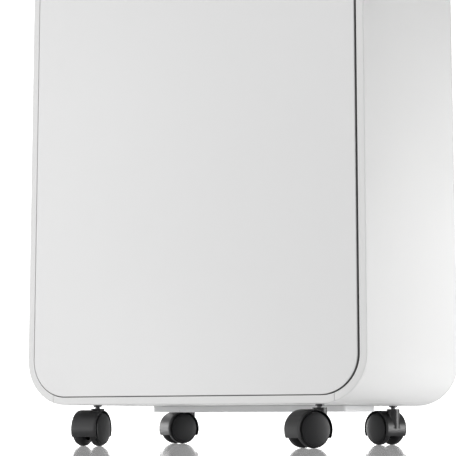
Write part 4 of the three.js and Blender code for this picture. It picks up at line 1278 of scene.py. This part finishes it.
def compressor():
    """A welded can on three rubber feet, with its suction accumulator on a strap and its lead."""
    node = "compressor"
    bottom, top = 58, high(node).z
    r = CAN_RADIUS
    profile = [(0, bottom)]
    profile += [(r - 18 + 18 * math.sin(t), bottom + 16 - 16 * math.cos(t)) for t in quarter(9)]
    for seam in (112, 200):
        profile += [(r, seam), (r + 0.8, seam + 1), (r + 0.8, seam + 4), (r, seam + 5)]
    profile += [(r - 20 + 20 * math.cos(t), top - 18 + 18 * math.sin(t)) for t in quarter(9)] + [(0, top)]
    parts = [moved(smooth(lathe("can", profile, 80), 34), CAN_X, CAN_Y, 0)]
    ring = [(20, bottom - 4), (49.5, bottom - 4), (50, bottom - 3.5), (50, bottom + 0.5)]
    ring += [(49.5, bottom + 1), (20, bottom + 1)]
    parts.append(moved(smooth(revolve("ring", ring, 80), 34), CAN_X, CAN_Y, 0))
    pot = [(0, 100)] + [(5 + 10 * math.sin(t), 108 - 8 * math.cos(t)) for t in quarter(6)]
    pot += [(5 + 10 * math.cos(t), 207 + 8 * math.sin(t)) for t in quarter(6)] + [(0, 215)]
    parts.append(moved(smooth(lathe("pot", pot, 48), 34), CAN_X + 65, CAN_Y, 0))
    parts.append(soften(box("strap", CAN_X + 40, CAN_X + 55, CAN_Y - 5, CAN_Y + 5, 150, 162), 0.8))
    lead = [(CAN_X + out, CAN_Y, z) for out, z in ((65, 101), (65, 90), (60, 82), (50, 80), (44, 80))]
    parts.append(smooth(tube("lead", curve(lead, 5), 3, 14), 50))
    floor_top = UNDERSIDE + WALL
    foot = [(2.5, floor_top + 0.3), (6.4, floor_top + 0.3), (7, floor_top + 1), (7, 49.2), (5.8, 49.8)]
    foot += [(5.8, 50.8), (7, 51.4), (7, 53.6), (6.6, bottom - 0.4), (2.5, bottom - 0.4)]
    for turn in (90, 210, 330):
        x, y = CAN_X + 41 * math.cos(math.radians(turn)), CAN_Y + 41 * math.sin(math.radians(turn))
        parts.append(moved(smooth(revolve("foot", foot, 32), 34), x, y, 0))
    dress(gather("compressor_mesh", *parts), ENAMEL, "casing", "compressor_paint", node)


def curve(points, steps):
    """A smooth path through points."""
    track = [Vector(p) for p in points]
    track = [2 * track[0] - track[1]] + track + [2 * track[-1] - track[-2]]
    path = []
    for a, b, c, d in zip(track, track[1:], track[2:], track[3:]):
        square, cube = 2 * a - 5 * b + 4 * c - d, 3 * b - a - 3 * c + d
        for i in range(steps):
            t = i / steps
            path.append(0.5 * (2 * b + (c - a) * t + square * t**2 + cube * t**3))
    return path + [track[-2]]


def refrigerant_pipe():
    node = "refrigerant_pipe"
    end = high("evaporator").x
    coil_y = middle_of("evaporator").y
    route = [(CAN_X, CAN_Y, high("compressor").z + 0.3), (CAN_X, CAN_Y, 276)]
    route += [(-100, -58, 286), (-140, -42, 286)]
    route += [(-152, -36, 300), (-152, -36, 330), (-156, 20, 400), (-156, 80, 470), (-150, coil_y, 490)]
    route += [(-end - 0.3, coil_y, 490)]
    pipe = smooth(tube("pipe", curve(route, 8), 3.9, 20), 60)
    profile = [(3.6, 0), (5, 0), (5.4, 0.4), (5.4, 4), (4.6, 4.6), (3.6, 4.6)]
    collar = smooth(moved(revolve("collar", profile, 32), CAN_X, CAN_Y, 264))
    dress(gather("refrigerant_pipe_mesh", pipe, collar), COPPER, "casing", "pipe_copper", node)


def circuit_board():
    """A board on a folded bracket, with a capacitor, relay, heat sink, connectors and small parts."""
    node = "circuit_board"
    foot = low(node).z
    metal_parts = [
        soften(box("sheet", 50, 116, -115, -113.8, foot, 230), 0.3),
        soften(box("sheet", 50, 116, -114.5, -96, foot, foot + 2), 0.3),
    ]
    board = soften(box("board", 46, 120, -113.4, -111.8, 96, 236), 0.2)
    dress(gather("board_sheet", board), CIRCUIT, "casing", "circuit_green", node)
    metal_parts.append(soften(box("sink_base", 90, 116, -111.8, -109.5, 110, 160), 0.3))
    for i in range(8):
        x = 90.8 + i * 3.4
        metal_parts.append(soften(box("sink_fin", x - 0.6, x + 0.6, -110, -90, 110, 160), 0.3, 1))
    for x in (52, 56, 60, 64, 68, 72):
        metal_parts.append(rod("joint", 0.9, "y", -112, -110.8, x, 104, 10))
    dress(gather("board_metal", *metal_parts), ALUMINIUM, "casing", "coil_aluminium", node)
    can = [(0, 110), (14.2, 110), (15, 110.8), (15, 114), (14.4, 114.8), (15, 115.6), (15, 179)]
    can += [(14.2, 180), (0, 180)]
    dark = [moved(smooth(lathe("capacitor", can, 48), 34), 66, -97, 0)]
    dark.append(soften(box("relay", 92, 114, -112, -92.2, 190, 216), 0.8))
    for z in (196, 208, 220):
        dark.append(soften(box("plug", 50, 62, -112, -104, z - 4, z + 4), 0.6))
    for x, z in ((72, 200), (80, 200), (72, 212), (80, 212), (76, 224)):
        dark.append(soften(box("chip", x - 3, x + 3, -112, -109.6, z - 2, z + 2), 0.4))
    for x in (70, 78, 86):
        dark.append(smooth(rod("drum", 3, "y", -112, -104, x, 188, 20), 30))
    dress(gather("board_dark", *dark), BLACK_SATIN, "casing", "black_satin", node)


compressor()
refrigerant_pipe()
circuit_board()


# ---------- Camera, floor and light ----------
FLOOR_GLOW = 0.17
AMBIENT = 0.19
BACKDROP_SIDE = (-0.466, 0.885, 0)
BACKDROP_LIGHT = 2.0
FRONT_SIDE = (-0.3, -0.93, 0.2)
FRONT_LIGHT = 0.9


def place_camera():
    camera = bpy.data.objects.new("camera", bpy.data.cameras.new("camera"))
    camera.data.lens = 110
    camera.data.sensor_width = 36
    camera.data.shift_y = 0.06
    camera.data.clip_end = 50
    camera.location = (0.6938, FRONT * MM - 1.2264, 0.0261)
    camera.rotation_euler = (math.radians(96.79), 0, math.radians(27.8))
    scene.collection.objects.link(camera)
    scene.camera = camera


def floor():
    bm = bmesh.new()
    bmesh.ops.create_grid(bm, x_segments=1, y_segments=1, size=8000)
    ground = object_from("floor", bm)
    look, tree, inputs = material("floor_white", (0.86, 0.86, 0.86), 0.05)
    feed(tree, inputs["Roughness"], ramp(tree, noise(tree, 3.0), 0.04, 0.07))
    inputs["Emission Color"].default_value = (1, 1, 1, 1)
    inputs["Emission Strength"].default_value = FLOOR_GLOW
    ground.data.materials.append(look)


def area_light(name, location, target, size, power):
    data = bpy.data.lights.new(name, "AREA")
    data.shape = "RECTANGLE"
    data.size, data.size_y = size
    data.energy = power
    light = bpy.data.objects.new(name, data)
    light.location = location
    light.visible_camera = False
    light.rotation_euler = (Vector(target) - Vector(location)).to_track_quat("-Z", "Y").to_euler()
    scene.collection.objects.link(light)


def lobe(tree, place, direction, start, end, strength):
    """Light that grows as a direction nears the given one."""
    along = tree.nodes.new("ShaderNodeVectorMath")
    along.operation = "DOT_PRODUCT"
    feed(tree, along.inputs[0], place)
    feed(tree, along.inputs[1], direction)
    limits = {"From_Min": start, "From_Max": end, "To_Min": 0, "To_Max": strength}
    source = along.outputs["Value"]
    return wire(tree, "MapRange", "Result", ("interpolation_type", "SMOOTHSTEP"), Value=source, **limits)


def surroundings():
    """A studio: white behind the object as the camera sees it, bright in front of it, dimmer elsewhere."""
    world = bpy.data.worlds.new("studio")
    world.use_nodes = True
    tree = world.node_tree
    place = wire(tree, "TexCoord", "Generated")
    light = wire(tree, "Value", "Value")
    light.default_value = AMBIENT
    backdrop = lobe(tree, place, BACKDROP_SIDE, 0.70, 0.84, BACKDROP_LIGHT - AMBIENT)
    for extra in (backdrop, lobe(tree, place, FRONT_SIDE, 0.0, 1.0, FRONT_LIGHT)):
        both = tree.nodes.new("ShaderNodeMath")
        feed(tree, both.inputs[0], light)
        feed(tree, both.inputs[1], extra)
        light = both.outputs["Value"]
    background = tree.nodes["Background"].inputs
    feed(tree, background["Strength"], light)
    background["Color"].default_value = (1, 1, 1, 1)
    scene.world = world


place_camera()
floor()
surroundings()
area_light("low_right", (0.85, 0.27, 0.10), (0.13, 0.1, 0.03), (0.5, 0.24), 3.5)
area_light("low_left", (-1.0, 0.42, 0.10), (-0.13, 0.1, 0.03), (0.4, 0.22), 2.8)
area_light("low_front", (-0.55, -1.0, 0.09), (-0.13, -0.1, 0.03), (0.35, 0.16), 0.4)
area_light("front_left", (-1.05, -1.1, 0.45), (-0.1, -0.1, 0.25), (0.8, 0.8), 2.4)
scene.view_settings.view_transform = "Standard"
